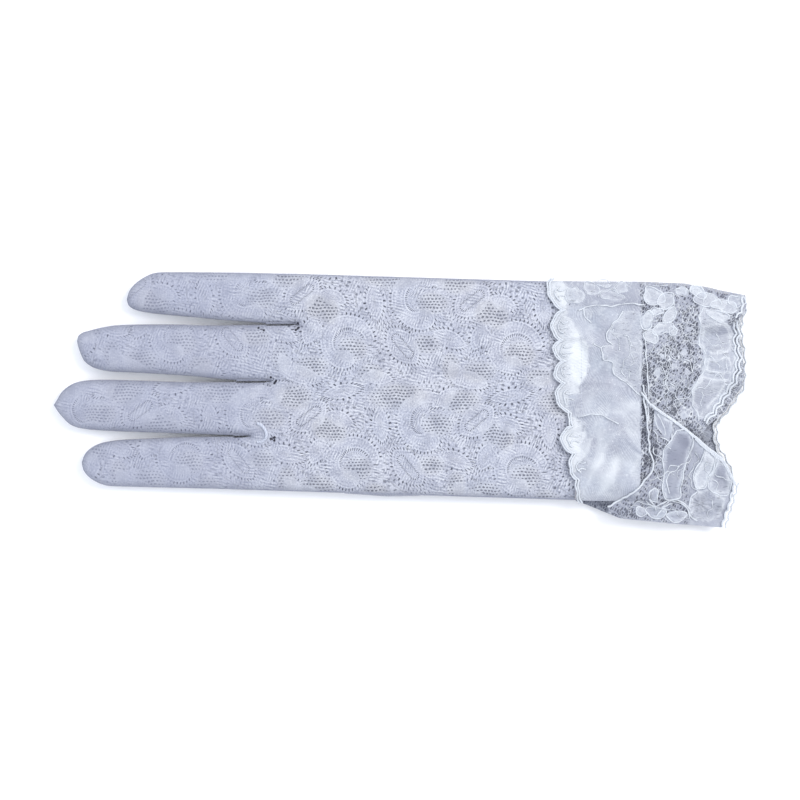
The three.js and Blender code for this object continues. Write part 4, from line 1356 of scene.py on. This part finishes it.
def creases(x, y):
    """The soft folds of the lace over the hem band."""
    z = 0.0 * x
    for line, width, size in CREASES:
        d = distance_to(plan(line), x, y) / S
        z = z + size * MM * np.exp(-(d / width) ** 2)
    return z


def crease_painted_light(x, y):
    """Painted light on the folds: the crest of each fold is painted lighter, and the side away from it painted darker.
    """
    t = 0.0 * x
    for line, width, size in CREASES:
        p = np.array(line, float)
        d = distance_to(plan(p), x, y) / S
        e = distance_to(plan(p + np.array([width * 0.9, width * 0.9])), x, y) / S
        t = t + size * (0.24 * np.exp(-(d / (width * 0.62)) ** 2) - 0.44 * np.exp(-(e / width) ** 2))
    return t


# heights of the three layers
def front_height(x, y, g, h):
    level = hand_level(x, y) + 0.85 * MM
    past = smooth((g - HINGE_G) / 92)
    wave = np.sin((h - 300) / 62 * 2 * math.pi + 0.6) * 1.5 * MM + np.sin((h - 300) / 31 * 2 * math.pi + (g - 640) / 22) * 0.7 * MM
    low = 5.3 * MM + wave
    z = lerp(level, low, past)
    z = z + fray(x, y, 31) * (0.75 + 0.5 * smooth((g - 585) / 60)) * smooth((g - 548) / 10)
    fold = np.sin(((h - 300) * 0.9 - (g - 580) * 0.55) / 34 * 2 * math.pi + 2.0 * noise(x, y, 16 * MM, 77))
    z = z + 0.45 * MM * fold * smooth((g - 575) / 14) * smooth((650 - g) / 12)
    z = z + creases(x, y) * smooth((648 - g) / 6)
    z = z + 0.7 * MM * np.exp(-((g - 612) / 24.0) ** 2 - ((h - 470) / 26.0) ** 2)
    puff = 0.9 * MM * np.exp(-(((g - 566) / 9.0) ** 2)) * (0.7 + 0.3 * np.cos((h - 288) / 22.5 * 2 * math.pi))
    z = z + puff
    # it lies on the hem band, and never sinks into it
    floor_z = hand_level(x, y) + 0.62 * MM
    soft = floor_z + 0.12 * MM * np.log1p(np.exp(np.clip((z - floor_z) / (0.12 * MM), -30, 30)))
    return np.where(g < 652, lerp(soft, z, smooth((g - 643) / 9)), z)


def flap_height(x, y, g, h):
    # the fold runs from (640, 394) to (733, 482): high along the fold, falling away from it
    d = ((g - 640) * (482 - 394) - (h - 394) * (733 - 640)) / math.hypot(93, 88)  # above the fold is positive
    away = np.maximum(-d, 0)
    level = front_height(x, y, g, h)
    base = lerp(10.6 * MM, 5.0 * MM, smooth((g - 632) / 100))
    roll = 1.6 * MM * np.exp(-(away / 7.0) ** 2)
    z = np.maximum(base, level * 0.6) + roll + 1.1 * MM
    z = z - 2.6 * MM * smooth((away - 12) / 70)
    z = z + 0.8 * MM * np.sin((g * 0.8 + h * 0.6) / 21.0 * math.pi) + fray(x, y, 41) * 0.9
    return np.maximum(z, level + 0.6 * MM)


def under_height(x, y, g, h):
    z = lerp(2.5 * MM, 0.9 * MM, smooth((g - 641) / 40))
    z = z + (noise(x, y, 11 * MM, 51) * 1.0 + 0.5 * np.sin((h - 300) / 25 * 2 * math.pi)) * MM * smooth((g - 645) / 30) * 0.8
    return np.maximum(z, 0.25 * MM)


head = heading_line()
hem_left = lambda h: at_height(head, np.clip(h, 279, 503))
hem_right = lambda h: at_height(HEM, np.clip(h, 294, 500))
front_bottom = lambda g: np.interp(g, [540, 575, 600, 640, 655, 700, 750], [498, 500.0, 500.5, 500.5, 500, 496, 490])
top_edge = lambda g: np.interp(g, TOP_G, TOP_H)

PETALS = [blob(652, 297, 12, 7.5, 20), blob(664, 301, 10, 6.5, -30), blob(645, 321, 6.5, 8.5, 10), blob(649, 337, 7.5, 6, 40), blob(661, 329, 10, 6, -20), blob(668, 316, 8, 5.5, -50), blob(671, 331, 5, 4, 10), blob(655, 312, 6, 4, 0)]
BORDER = [(700, 302), (697, 318), (699, 330), (697, 342), (702.8, 354.6), (701, 370.8), (692, 385), (690, 399.6), (697.4, 421), (706, 419), (713.6, 412), (720.8, 401), (729.8, 387), (737, 365), (735.6, 345.6), (733, 330), (725, 322), (712, 316)]
WIDE = [[(702, 326), (712, 323), (724, 324), (731, 333), (732.5, 345), (729, 353), (716, 355), (704, 352), (700, 341)],
        [(705, 357), (716, 358.5), (730, 356.5), (733.5, 366), (729, 375), (716, 373.5), (704, 371)],
        [(701, 376), (712, 378), (727, 379), (722, 392), (713, 403), (704, 413), (699, 418), (695, 411), (691.5, 402), (692, 391), (696, 382)]]
LOBES = [blob(706, 300, 13, 7.5, 15), blob(724, 306, 12, 7, 10), blob(736, 301, 8, 6, 0), blob(717, 316, 11, 5.5, 10), blob(697, 292, 9, 5, 25)]
LEAF_LINE = [(621, 312), (617, 319), (610.5, 323.5), (609, 328), (605.6, 333), (606, 340), (610, 345.5), (606, 346), (600, 348), (600.5, 353), (602.5, 361), (610.3, 362), (611, 369.5), (614, 376), (623, 382), (628, 386.5), (639, 396)]
LEAF_OVER = LEAF_LINE + [(640, 350), (639, 312)]
TOP_FILL = [blob(590, 289, 9, 6, 10), blob(610, 296, 11, 5, 5), blob(620, 288, 8, 5, -10), blob(573, 296, 8, 9, 0), blob(681, 292, 6, 5, 20), blob(603, 284, 7, 4, 0)]
SMALL = [blob(683, 352, 5, 3.5, 30), blob(672, 366, 4, 3, 0), blob(686, 372, 4, 3, 60), blob(664, 384, 4.5, 3, 20), blob(678, 398, 5, 3.5, -20), blob(660, 356, 3.5, 3, 0), blob(688, 330, 5, 3, 0), blob(693, 408, 5, 4, 0), blob(683, 415, 6, 4, 20), blob(656, 372, 3, 5, 0)]


def wander(g0, h0, heading, length, seed):
    """A thread of the figure that wanders across the net."""
    pts, a = [(g0, h0)], math.radians(heading)
    for k in range(int(length / 4)):
        a += 0.75 * math.sin(seed * 3.1 + k * 1.9) + 0.35 * math.sin(seed + k * 0.7)
        g0, h0 = g0 + 4 * math.cos(a), h0 + 4 * math.sin(a)
        h0 = min(max(h0, 286.0 + 0.12 * max(0.0, g0 - 690)), 518.0)
        pts.append((g0, h0))
    return pts


def front_fill(g, h):
    """How close the lace is over the hem band, in the heading and in the hem."""
    x, y = gx(g), hy(h)
    uneven = (noise(x, y, 4.5 * MM, 61) - 0.5) * 12 + (noise(x, y, 1.6 * MM, 62) - 0.5) * 7
    end = np.interp(h, [279, 300, 312, 325, 337, 352, 366, 378, 387, 402, 414, 428, 442, 453, 466, 482, 500], [567, 567, 565, 572, 581, 584, 583, 580, 571, 569, 572, 582, 585, 579, 574, 574, 578]) + uneven
    f = 1.0 - 0.40 * smooth((g - end) / 5.0)
    f = f - 0.10 * smooth((g - end) / 5.0) * smooth((noise(x, y, 8 * MM, 63) - 0.5) / 0.2)
    f = np.where(h < 308 + uneven * 0.5, np.minimum(f, np.where(g < end, 1.0, 0.45)), f)
    brink = 638.5 + uneven * 0.12
    f = np.where(g > brink, f * (1 - smooth((g - brink) / 1.2)), f)
    # the slack strip just past the band
    slack = np.exp(-(((g - 641.8) / 2.6) ** 2)) * smooth((h - 322) / 8) * (0.6 + 0.4 * np.sin(h / 5.3))
    return np.where(g > 637, f - 0.45 * slack, f)


front_fills = [(p, 0.86, 0.30) for p in TOP_FILL] + [(BORDER, 0.78, 0.14, 0.24)] + [(p, 0.93, 0.44, 0.24) for p in WIDE] + [(p, 0.96, 0.22) for p in LOBES] + [(p, 0.97, 0.30) for p in PETALS] + [(p, 0.52, 0.0) for p in SMALL] + [(LEAF_OVER, 0.80, 0.16)]


# The ruffle's painted light: painted highlights on the heading's puffs and the crests of the folds, painted shade
# beside the folds, a darker strip along the top edge, darker patches over the band, and uneven colour.
def front_painted_light_and_tone(g, h):
    x, y = gx(g), hy(h)
    t = np.ones(np.shape(g))
    t = t - 0.30 * smooth((312 - h) / 8) * smooth((g - 568) / 8)
    # painted highlight: the tops of the heading's puffs, and a puff over the band, are painted whiter
    painted_highlight = np.exp(-((g - 575) / 8.0) ** 2 - ((h - 358) / 22.0) ** 2) + 0.8 * np.exp(-((g - 561) / 6.5) ** 2 - ((h - 297) / 13.0) ** 2) + 0.75 * np.exp(-((g - 567) / 8.0) ** 2 - ((h - 440) / 13.0) ** 2) + 0.22 * np.exp(-((g - 606) / 18.0) ** 2 - ((h - 472) / 26.0) ** 2)
    t = t + 0.55 * painted_highlight
    # quieter places over the band
    quiet = np.exp(-((g - 602) / 9.0) ** 2 - ((h - 331) / 17.0) ** 2) + np.exp(-((g - 604) / 5.0) ** 2 - ((h - 372) / 9.0) ** 2) + 0.7 * np.exp(-((g - 577) / 7.0) ** 2 - ((h - 402) / 9.0) ** 2)
    t = t + 0.13 * smooth((h - 312) / 8) * smooth((g - 568) / 8) * smooth((639 - g) / 2)
    t = t - 0.36 * quiet + crease_painted_light(x, y) * smooth((640 - g) / 4)
    return t + 0.22 * (noise(x, y, 6.0 * MM, 64) - 0.5) * smooth((g - 566) / 8) * smooth((642 - g) / 4)


front_lace = ruffle_layer("ruffle_front", hem_left, hem_right, top_edge, front_bottom, front_height, front_fills, front_fill, material=NET, painted_light_and_tone=front_painted_light_and_tone)
hinge_y = 0.0
FRONT = ("hand", "ruffle_front", (float(gx(HINGE_G)) - 4 * MM, hinge_y, 0.0105), (float(gx(HINGE_G)) + 9 * MM, hinge_y, 0.0105))
UNDERNEATH = ("hand", "ruffle_palm", (float(gx(HINGE_G)) - 4 * MM, hinge_y, 0.0015), (float(gx(HINGE_G)) + 9 * MM, hinge_y, 0.0015))

FOLD = [(639.5, 393), (647, 403), (658, 411), (670, 419), (681, 427), (692, 435.6), (702, 443.5), (710, 450), (720.8, 458.5), (728, 470), (733.6, 482)]
FLAP_RIGHT = [(733.6, 482), (732.5, 488), (730, 496), (727.5, 505), (724.5, 515), (721, 527)]
FRAY_LEFT = [(640, 394), (643, 410), (646, 432), (647.5, 450), (651, 462), (650, 470), (645, 477), (634, 489.6), (622, 498), (607, 506.5)]


def flap_top(g):
    return np.interp(g, [p[0] for p in FOLD], [p[1] for p in FOLD])


def flap_left(h):
    return np.interp(h, [p[1] for p in FRAY_LEFT], [p[0] for p in FRAY_LEFT])


def flap_piece():
    """Columns from the fold down to the lower outline."""
    g = np.arange(607.5, 733.0, 1.05)
    bottom = np.interp(g, [600, 612, 619, 640, 680, 721, 724.5, 730, 733.6], [508, 515, 517.6, 520.0, 524, 527.4, 515, 498, 483])
    left = np.array(FRAY_LEFT)
    # the free left edge: above it the columns start on the frayed line
    topl = np.interp(g, [607, 622, 634, 645, 650.5], [506.5, 498, 489.6, 477, 466])
    top = np.where(g < 650.5, topl, np.interp(g, [p[0] for p in FOLD], [p[1] for p in FOLD]))
    # between the frayed line's head and the fold
    k = smooth((g - 647.5) / 5.0)
    top = np.where(g < 652.5, lerp(topl, np.interp(g, [p[0] for p in FOLD], [p[1] for p in FOLD]), k), top)
    m = 170
    t = np.linspace(0, 1, m + 1)
    G = np.repeat(g[:, None], m + 1, 1)
    H = top[:, None] + (np.maximum(bottom, top + 0.5) - top)[:, None] * t[None, :]
    return G, H


G, H = flap_piece()
X, Y = gx(G), hy(H)
Z = flap_height(X, Y, G, H)
LEAF_BIG = [(674, 430.5), (668, 441), (662, 449), (661, 456), (661.2, 464.5), (662, 474), (660.6, 486), (662.8, 497.5), (670, 499), (678.5, 497.5), (678.5, 487), (681.5, 478), (682.4, 470.7), (685.6, 459.7), (688.7, 450.3), (691, 441), (688.7, 433), (682, 429.5)]
LEAF_RIGHT = [(705.2, 447), (702.5, 453), (700.5, 459.7), (697, 466), (694.2, 470.7), (692, 478.6), (695, 488), (700, 488.5), (704.4, 486.4), (706.8, 477), (712.3, 469), (713.5, 458), (710, 454)]
LEAF_SIDE = [(714, 457), (716, 463), (713, 470), (708, 478), (707, 487), (712, 492), (721, 495), (728, 494), (731, 482), (727, 469), (721, 461)]
LEAF_FOOT = [(697, 490), (690, 497), (688, 506), (690, 515), (697, 521), (708, 522), (718, 519), (722, 508), (725, 498), (716, 494), (705, 489)]
GREY_TOP = [(649, 409), (660, 414), (671, 421), (670, 433), (667, 440), (659, 433), (651, 424)]
FLOWER = [blob(699, 503, 7, 7, 0)]
LOW = [blob(655, 512, 9, 6, 10), blob(676, 516, 10, 5, 5), blob(640, 511, 6, 4, 20), blob(652, 494, 5, 6, 0)]
slack = np.exp(-((G - 651) / 7.0) ** 2 - ((H - 452) / 20.0) ** 2) + np.exp(-((G - 622) / 16.0) ** 2 - ((H - 512) / 6.0) ** 2)
fill = 0.24 - 0.45 * slack + 0.40 * smooth((G - 684) / 8)
tn = 0.60 + 0.18 * smooth((G - 690) / 14) - 0.10 * slack
for poly, amount, centre, rim in [(GREY_TOP, 0.66, 0.60, 0.1), (LEAF_BIG, 0.74, 0.95, 0.1), (LEAF_SIDE, 0.84, 0.60, 0.18), (LEAF_FOOT, 0.86, 0.50, 0.14), (LEAF_RIGHT, 0.97, 0.16, 0.2)] + [(q, 0.75, 0.60, 0.1) for q in LOW]:
    fill, tn, Z = petal(poly, amount, centre, X, Y, fill, tn, Z, rim)
# radiating pleats of the flower by the hem
fx, fy = plan([(699, 503)])[0]
rr, aa = np.hypot(X - fx, Y - fy), np.arctan2(Y - fy, X - fx)
Z = Z + 0.35 * MM * np.cos(11 * aa) * np.exp(-(rr / (7 * MM)) ** 2) * smooth(rr / (1.2 * MM))
b = Builder()
b.grid(np.stack([X, Y, Z], -1), dict(rest=np.stack([X * 1000, Y * 1000, 0 * X], -1), fill=fill, painted_light_and_tone=tn), flip=True)
flap_lace = b.build("ruffle_pleat")

PALM_HEM = [(741, 297), (743, 310), (741, 318), (739, 330), (741, 342), (742.5, 357), (742, 384), (737, 394), (731, 403), (724, 412), (716.5, 421), (714.5, 430), (715.5, 440), (717.5, 449), (722, 457), (727, 466), (731, 476), (730, 492), (726, 505), (721, 520)]
palm_left = lambda h: np.full(np.shape(h), 577.5) + 5.0 * np.abs(np.sin((np.asarray(h) - 290) / 23.4 * math.pi)) * 0 - 1.0
palm_right = lambda h: at_height(PALM_HEM, np.clip(h, 297, 520))
palm_top = lambda g: np.interp(g, TOP_G, np.array(TOP_H) + 1.6)
palm_bottom = lambda g: np.interp(g, [540, 572, 577, 589, 600, 612, 619, 640, 680, 724, 750], [497, 499.6, 501.5, 505.7, 510.3, 515.2, 517.8, 519.6, 523.6, 526, 526])
under_lace = ruffle_layer("ruffle_palm", palm_left, palm_right, palm_top, palm_bottom, under_height,
                          [(blob(a, b_, r, r * 0.7, c), 0.9, 0.3) for a, b_, r, c in ((700, 330, 9, 20), (712, 380, 10, 70), (690, 430, 8, 0), (708, 436, 6, 40), (655, 340, 8, 30), (660, 480, 8, 0), (700, 505, 9, 30), (625, 511, 6, 5), (668, 400, 7, 0), (640, 300, 9, 0), (720, 345, 7, 90))],
                          0.15, step=0.55, seed=9, flip=True)
dress(front_lace, NET, ["ruffle_front_lace", "ruffle_heading_back"], blends=FRONT)
dress(flap_lace, NET, "ruffle_pleat_lace", blends=FRONT)
dress(under_lace, NET_BELOW_PAINTED_SHADE, ["ruffle_palm_lace", "ruffle_heading_palm"], blends=UNDERNEATH)

# ---------------------------------------------------------------- cords
def scalloped(points, pitch, depth, shift=0.0, step=0.5):
    """A line with small outward scallops along it. The points are in grid units, and outward is to the right of the way they run."""
    p = resample(np.array(points, float), step)
    s = np.concatenate([[0], np.cumsum(np.hypot(*np.diff(p, axis=0).T))])
    t = np.gradient(p, axis=0)
    t /= np.hypot(t[:, 0], t[:, 1])[:, None] + 1e-9
    nrm = np.stack([t[:, 1], -t[:, 0]], 1)
    n = max(1, round(s[-1] / pitch))
    w = np.abs(np.sin(math.pi * n * s / s[-1])) * depth + shift
    return p + nrm * w[:, None]


def grid_path(points, height, rise, step=0.35 * MM):
    q = plan(points)
    q = resample(q, step, smooth_it=False)
    g, h = q[:, 0] / S + GX, GY - q[:, 1] / S
    return np.stack([q[:, 0], q[:, 1], height(q[:, 0], q[:, 1], g, h) + rise], 1)


cord_one = grid_path(heading_line(inner=0.6), front_height, 0.30 * MM)
cord_two = grid_path(heading_line(inner=3.4), front_height, 0.38 * MM)
loops = []
for a, (g0, h0, w) in enumerate(HEAD_TOPS):
    # inside each scallop, a shorter corded arch and a pair of short ribs
    arch = [(g0 + 13.0 - 5.4 * math.sin(t) + 0.7 * math.sin(a + 3 * t), h0 + w * 0.62 * math.cos(t)) for t in np.linspace(0.1, math.pi - 0.1, 9)]
    loops.append(on(front_height, arch, 0.28 * MM, 0.4 * MM))
    for t in (-0.8, 0.7):
        loops.append(on(front_height, [(g0 + 16.5 + a % 3, h0 + 4.5 * t), (g0 + 12.5, h0 + 3.2 * t + 0.8 * math.sin(a)), (g0 + 10.0, h0 + 5.0 * t)], 0.22 * MM, 0.4 * MM))
heading_cord = tube("ruffle_heading_cords", [cord_one, cord_two], 0.40 * MM, 7, twist=1)
heading_loops = tube("ruffle_heading_petals", loops, 0.28 * MM, 6, uneven=0.4)
dress(heading_cord, CORD, "ruffle_heading_cord", rides="hand")
dress(heading_loops, CORD, None, rides="hand")

BORDER_IN = [(700, 286), (702, 300), (697, 318), (699, 332), (697, 342), (702.8, 354.6), (701, 370.8), (692, 385), (690, 399.6), (697.4, 421)]
HEM_CORD = [(734, 322), (737.5, 331), (736, 345), (738.5, 356), (737, 368), (734, 379), (729, 389), (724, 397), (718, 405), (711, 414), (703, 421)]
HEM_TOP = [(742, 297), (743, 304), (741, 312), (735, 318)]
thick = [grid_path(scalloped(HEM_CORD, 13, -2.6, 0.0), front_height, 0.30 * MM), grid_path(scalloped(HEM_CORD, 13, -2.6, 3.4), front_height, 0.32 * MM), grid_path(scalloped(HEM_TOP, 9, -1.5, 0), front_height, 0.3 * MM)]
fine = [grid_path(scalloped(BORDER_IN, 15, 2.0), front_height, 0.26 * MM),
        on(front_height, LEAF_LINE), on(front_height, [(592, 344), (597, 347.5), (600, 348.5)]),
        on(front_height, [(577, 311), (592, 306), (610, 307), (625, 304), (643, 306)]),
        on(front_height, [(643, 332), (644, 352), (645, 372), (647, 392), (646, 404)], 0.35 * MM),
        on(front_height, [(577, 417), (588, 414.5), (600, 415), (609, 419.5), (617, 424)], 0.15 * MM),
        on(front_height, [(582, 308), (584, 317), (590, 323)], 0.15 * MM)]
for q in PETALS + LOBES:
    fine.append(on(front_height, q, 0.22 * MM, 0.5 * MM, closed=True))
hair = []
for q in TOP_FILL:
    hair.append(on(front_height, q, 0.12 * MM, 0.5 * MM, closed=True))
for k, (g0, h0, a, l) in enumerate([(652, 342, 70, 44), (660, 346, 20, 30), (668, 338, 80, 52), (676, 344, 100, 46), (684, 336, 60, 30), (690, 350, 110, 44), (656, 366, 30, 34), (664, 380, 60, 32), (680, 376, 80, 36), (672, 398, 10, 24), (652, 380, 50, 24),
                                    (612, 330, 100, 26), (626, 340, 80, 44), (630, 352, 60, 30), (622, 336, 20, 22),
                                    (705, 330, 60, 40), (716, 334, 80, 46), (724, 348, 110, 38), (706, 356, 50, 40), (712, 380, 110, 34), (700, 392, 60, 24), (722, 372, 120, 30),
                                    (648, 288, 10, 26), (684, 288, 30, 20), (596, 298, 0, 26), (672, 304, 60, 24), (690, 306, 80, 26)]):
    hair.append(on(front_height, wander(g0, h0, a, l, k), 0.22 * MM, 0.5 * MM))
front_hair = tube("ruffle_front_threads", hair, 0.18 * MM, 5, uneven=0.5)
dress(front_hair, CORD, None, blends=FRONT)
front_cord = tube("ruffle_front_hem_cords", thick, 0.46 * MM, 7, twist=1)
front_fine = tube("ruffle_front_figure_cords", fine, 0.27 * MM, 6, uneven=0.45)
dress(front_cord, CORD, "ruffle_front_hem_cord", blends=FRONT)
dress(front_fine, CORD, None, blends=FRONT)

flap_thick = [on(flap_height, FOLD, 0.35 * MM, loose=0.25), on(flap_height, [(a + 0.3, b_ + 1.5) for a, b_ in FOLD[1:]], 0.30 * MM, loose=0.35), on(flap_height, [(a + 0.4, b_ + 3.2) for a, b_ in FOLD[5:]], 0.2 * MM, loose=0.5), grid_path(scalloped(FLAP_RIGHT, 10, -1.6, 1.0), flap_height, 0.3 * MM), grid_path(scalloped(FLAP_RIGHT, 10, -1.6, 4.6), flap_height, 0.3 * MM)]
flap_fine = [on(flap_height, LEAF_BIG, 0.3 * MM, closed=True), on(flap_height, LEAF_RIGHT, 0.3 * MM, closed=True),
             on(flap_height, LEAF_SIDE, 0.15 * MM, closed=True), on(flap_height, LEAF_FOOT[:5], 0.25 * MM), on(flap_height, [(677.7, 465), (674, 470), (667.5, 473), (664.4, 479.4), (666, 486), (667.5, 493)]),
             on(flap_height, [(670, 433), (668.5, 441), (659, 437)]), on(flap_height, [(655, 414), (660, 424), (664, 434)], 0.12 * MM), on(flap_height, [(652, 414), (654, 424), (659, 432)], 0.12 * MM),
             on(flap_height, [(645, 500), (654, 506), (667, 500), (684.8, 506), (690, 519)]), on(flap_height, [(660, 508), (668, 501), (676, 500), (684, 504), (690, 509)]), on(flap_height, [(655, 516), (663, 507), (671, 503)]), on(flap_height, [(648, 498), (652, 504), (655, 510)])]
for q in LOW:
    flap_fine.append(on(flap_height, q, 0.15 * MM, closed=True))
frayed = [on(flap_height, FRAY_LEFT[4:], 0.25 * MM)]
fray_side = [on(front_height, FRAY_LEFT[:6], 0.9 * MM), on(front_height, [(640.5, 385), (643, 394), (645, 402), (645.5, 412), (646.5, 421)], 0.7 * MM), on(front_height, [(639.5, 392), (642, 400), (643.6, 408)], 0.6 * MM)]
flap_cord = tube("ruffle_pleat_hem_cords", flap_thick + frayed, 0.42 * MM, 7, twist=1)
hair = []
for k, (g0, h0, a, l) in enumerate([(651, 430, 80, 30), (652, 446, 60, 26), (648, 480, 40, 30), (691, 446, 85, 40), (694, 452, 95, 34), (688, 462, 100, 30), (686, 474, 80, 24), (706, 462, 70, 36), (714, 474, 90, 30), (660, 506, 10, 40), (630, 506, 0, 30), (690, 512, 0, 28), (712, 500, 110, 20), (654, 460, 70, 30)]):
    hair.append(on(flap_height, wander(g0, h0, a, l, k + 40), 0.22 * MM, 0.5 * MM))
flap_hair = tube("ruffle_pleat_threads", hair, 0.18 * MM, 5, uneven=0.5)
dress(flap_hair, CORD, None, blends=FRONT)
flap_cord2 = tube("ruffle_pleat_figure_cords", flap_fine, 0.27 * MM, 6, uneven=0.45)
fray_cord = tube("ruffle_edge_cord", fray_side, 0.34 * MM, 6, twist=1)
dress(flap_cord, CORD, "ruffle_pleat_hem_cord", blends=FRONT)
dress(flap_cord2, CORD, None, blends=FRONT)
dress(fray_cord, CORD, None, blends=FRONT)

under_cord = tube("ruffle_palm_hem_cords", [grid_path(scalloped(PALM_HEM, 13, -2.0, 1.5), under_height, 0.35 * MM), grid_path(scalloped(PALM_HEM, 13, -2.0, 5.0), under_height, 0.3 * MM)], 0.42 * MM, 6, twist=1)
dress(under_cord, CORD, "ruffle_palm_hem_cord", blends=UNDERNEATH)

# eyelash threads beyond the front hem's cord
lash = []
p = resample(np.array(HEM_CORD, float), 1.9)
t = np.gradient(p, axis=0)
t /= np.hypot(t[:, 0], t[:, 1])[:, None]
for i, ((g0, h0), (tx, ty)) in enumerate(zip(p, t)):
    out = np.array([ty, -tx]) * (1 if ty > 0 else 1)
    l = 5.2 + 0.9 * math.sin(i * 2.3)
    q = np.array([[g0, h0], [g0 + out[0] * l * 0.5 + 0.2 * math.sin(i), h0 + out[1] * l * 0.5], [g0 + out[0] * l, h0 + out[1] * l + 0.4 * math.sin(i * 1.7)]])
    lash.append(grid_path(q, front_height, 0.1 * MM))
lashes = tube("ruffle_hem_picots", lash, 0.13 * MM, 4)
dress(lashes, CORD, None, blends=FRONT)


# ---------------------------------------------------------------- stitches
def stitch_row(name, g, h0, h1, height, rise, node, length=2.1, gap=1.1):
    paths = []
    h = h0
    while h < h1:
        paths.append(grid_path([(g - 0.2, h), (g, h + length * 0.5), (g + 0.2, h + length)], height, rise, 0.3 * MM))
        h += length + gap
    o = tube(name, paths, 0.12 * MM, 5)
    return o


row = stitch_row("ruffle_stitches_back", 580, 286, 498, front_height, -0.06 * MM, None)
dress(row, SEAM, "ruffle_stitching_back", rides="hand")
low_height = lambda x, y, g, h: palm_z(x, y) - 1.2 * MM
row = stitch_row("ruffle_stitches_palm", 580, 288, 496, low_height, 0.0, None)
dress(row, SEAM, "ruffle_stitching_palm", rides="hand")


def frill_sheet(o, fullness):
    """A frill is a strip longer than the edge it is gathered on to."""
    lo, hi = plan_box(o)
    w, l = float(hi[0] - lo[0]), float(hi[1] - lo[1]) * fullness
    min(mesh_area(o) * fullness, w * l)


frill_sheet(front_lace, 1.2)
frill_sheet(flap_lace, 1.1)
frill_sheet(under_lace, 1.2)

# ---------------------------------------------------------------- floor, light and camera
floor_mesh = bpy.data.meshes.new("floor")
floor_mesh.from_pydata([(-3, -3, 0), (3, -3, 0), (3, 3, 0), (-3, 3, 0)], [], [(0, 1, 2, 3)])
floor = bpy.data.objects.new("floor", floor_mesh)
bpy.context.scene.collection.objects.link(floor)
fm = Nodes("floor_paper")
fm.bsdf.inputs["Base Color"].default_value = (0.97, 0.97, 0.975, 1)
fm.bsdf.inputs["Roughness"].default_value = 0.9
fm.bsdf.inputs["Specular IOR Level"].default_value = 0.1
floor.data.materials.append(fm.m)
floor.location.z = -0.0001


def area_light(name, where, size, watts, color):
    d = bpy.data.lights.new(name, "AREA")
    d.shape, d.size, d.energy, d.color = "DISK", size, watts, color
    o = bpy.data.objects.new(name, d)
    o.location = where
    from mathutils import Vector
    o.rotation_euler = (-Vector(where)).to_track_quat("-Z", "Y").to_euler()
    bpy.context.scene.collection.objects.link(o)


area_light("key", (0.62, 0.38, 0.72), 0.6, 7.6, (1.0, 0.985, 0.97))
area_light("fill", (-0.7, -0.2, 0.9), 0.9, 4.2, (0.86, 0.91, 1.0))
world = bpy.data.worlds.new("studio")
bpy.context.scene.world = world
world.use_nodes = True
world.node_tree.nodes["Background"].inputs[0].default_value = (0.90, 0.93, 1.0, 1)
world.node_tree.nodes["Background"].inputs[1].default_value = 0.95
bpy.context.scene.view_settings.view_transform = "Standard"

cam = bpy.data.cameras.new("camera")
cam.type, cam.lens, cam.sensor_width = "PERSP", 85.0, 36.0
camera = bpy.data.objects.new("camera", cam)
bpy.context.scene.collection.objects.link(camera)
camera.location = (0.4 * S, -0.5 * S, 0.336 * 85.0 / 36.0 + 0.005)
camera.rotation_euler = (0, 0, 0)
bpy.context.scene.camera = camera
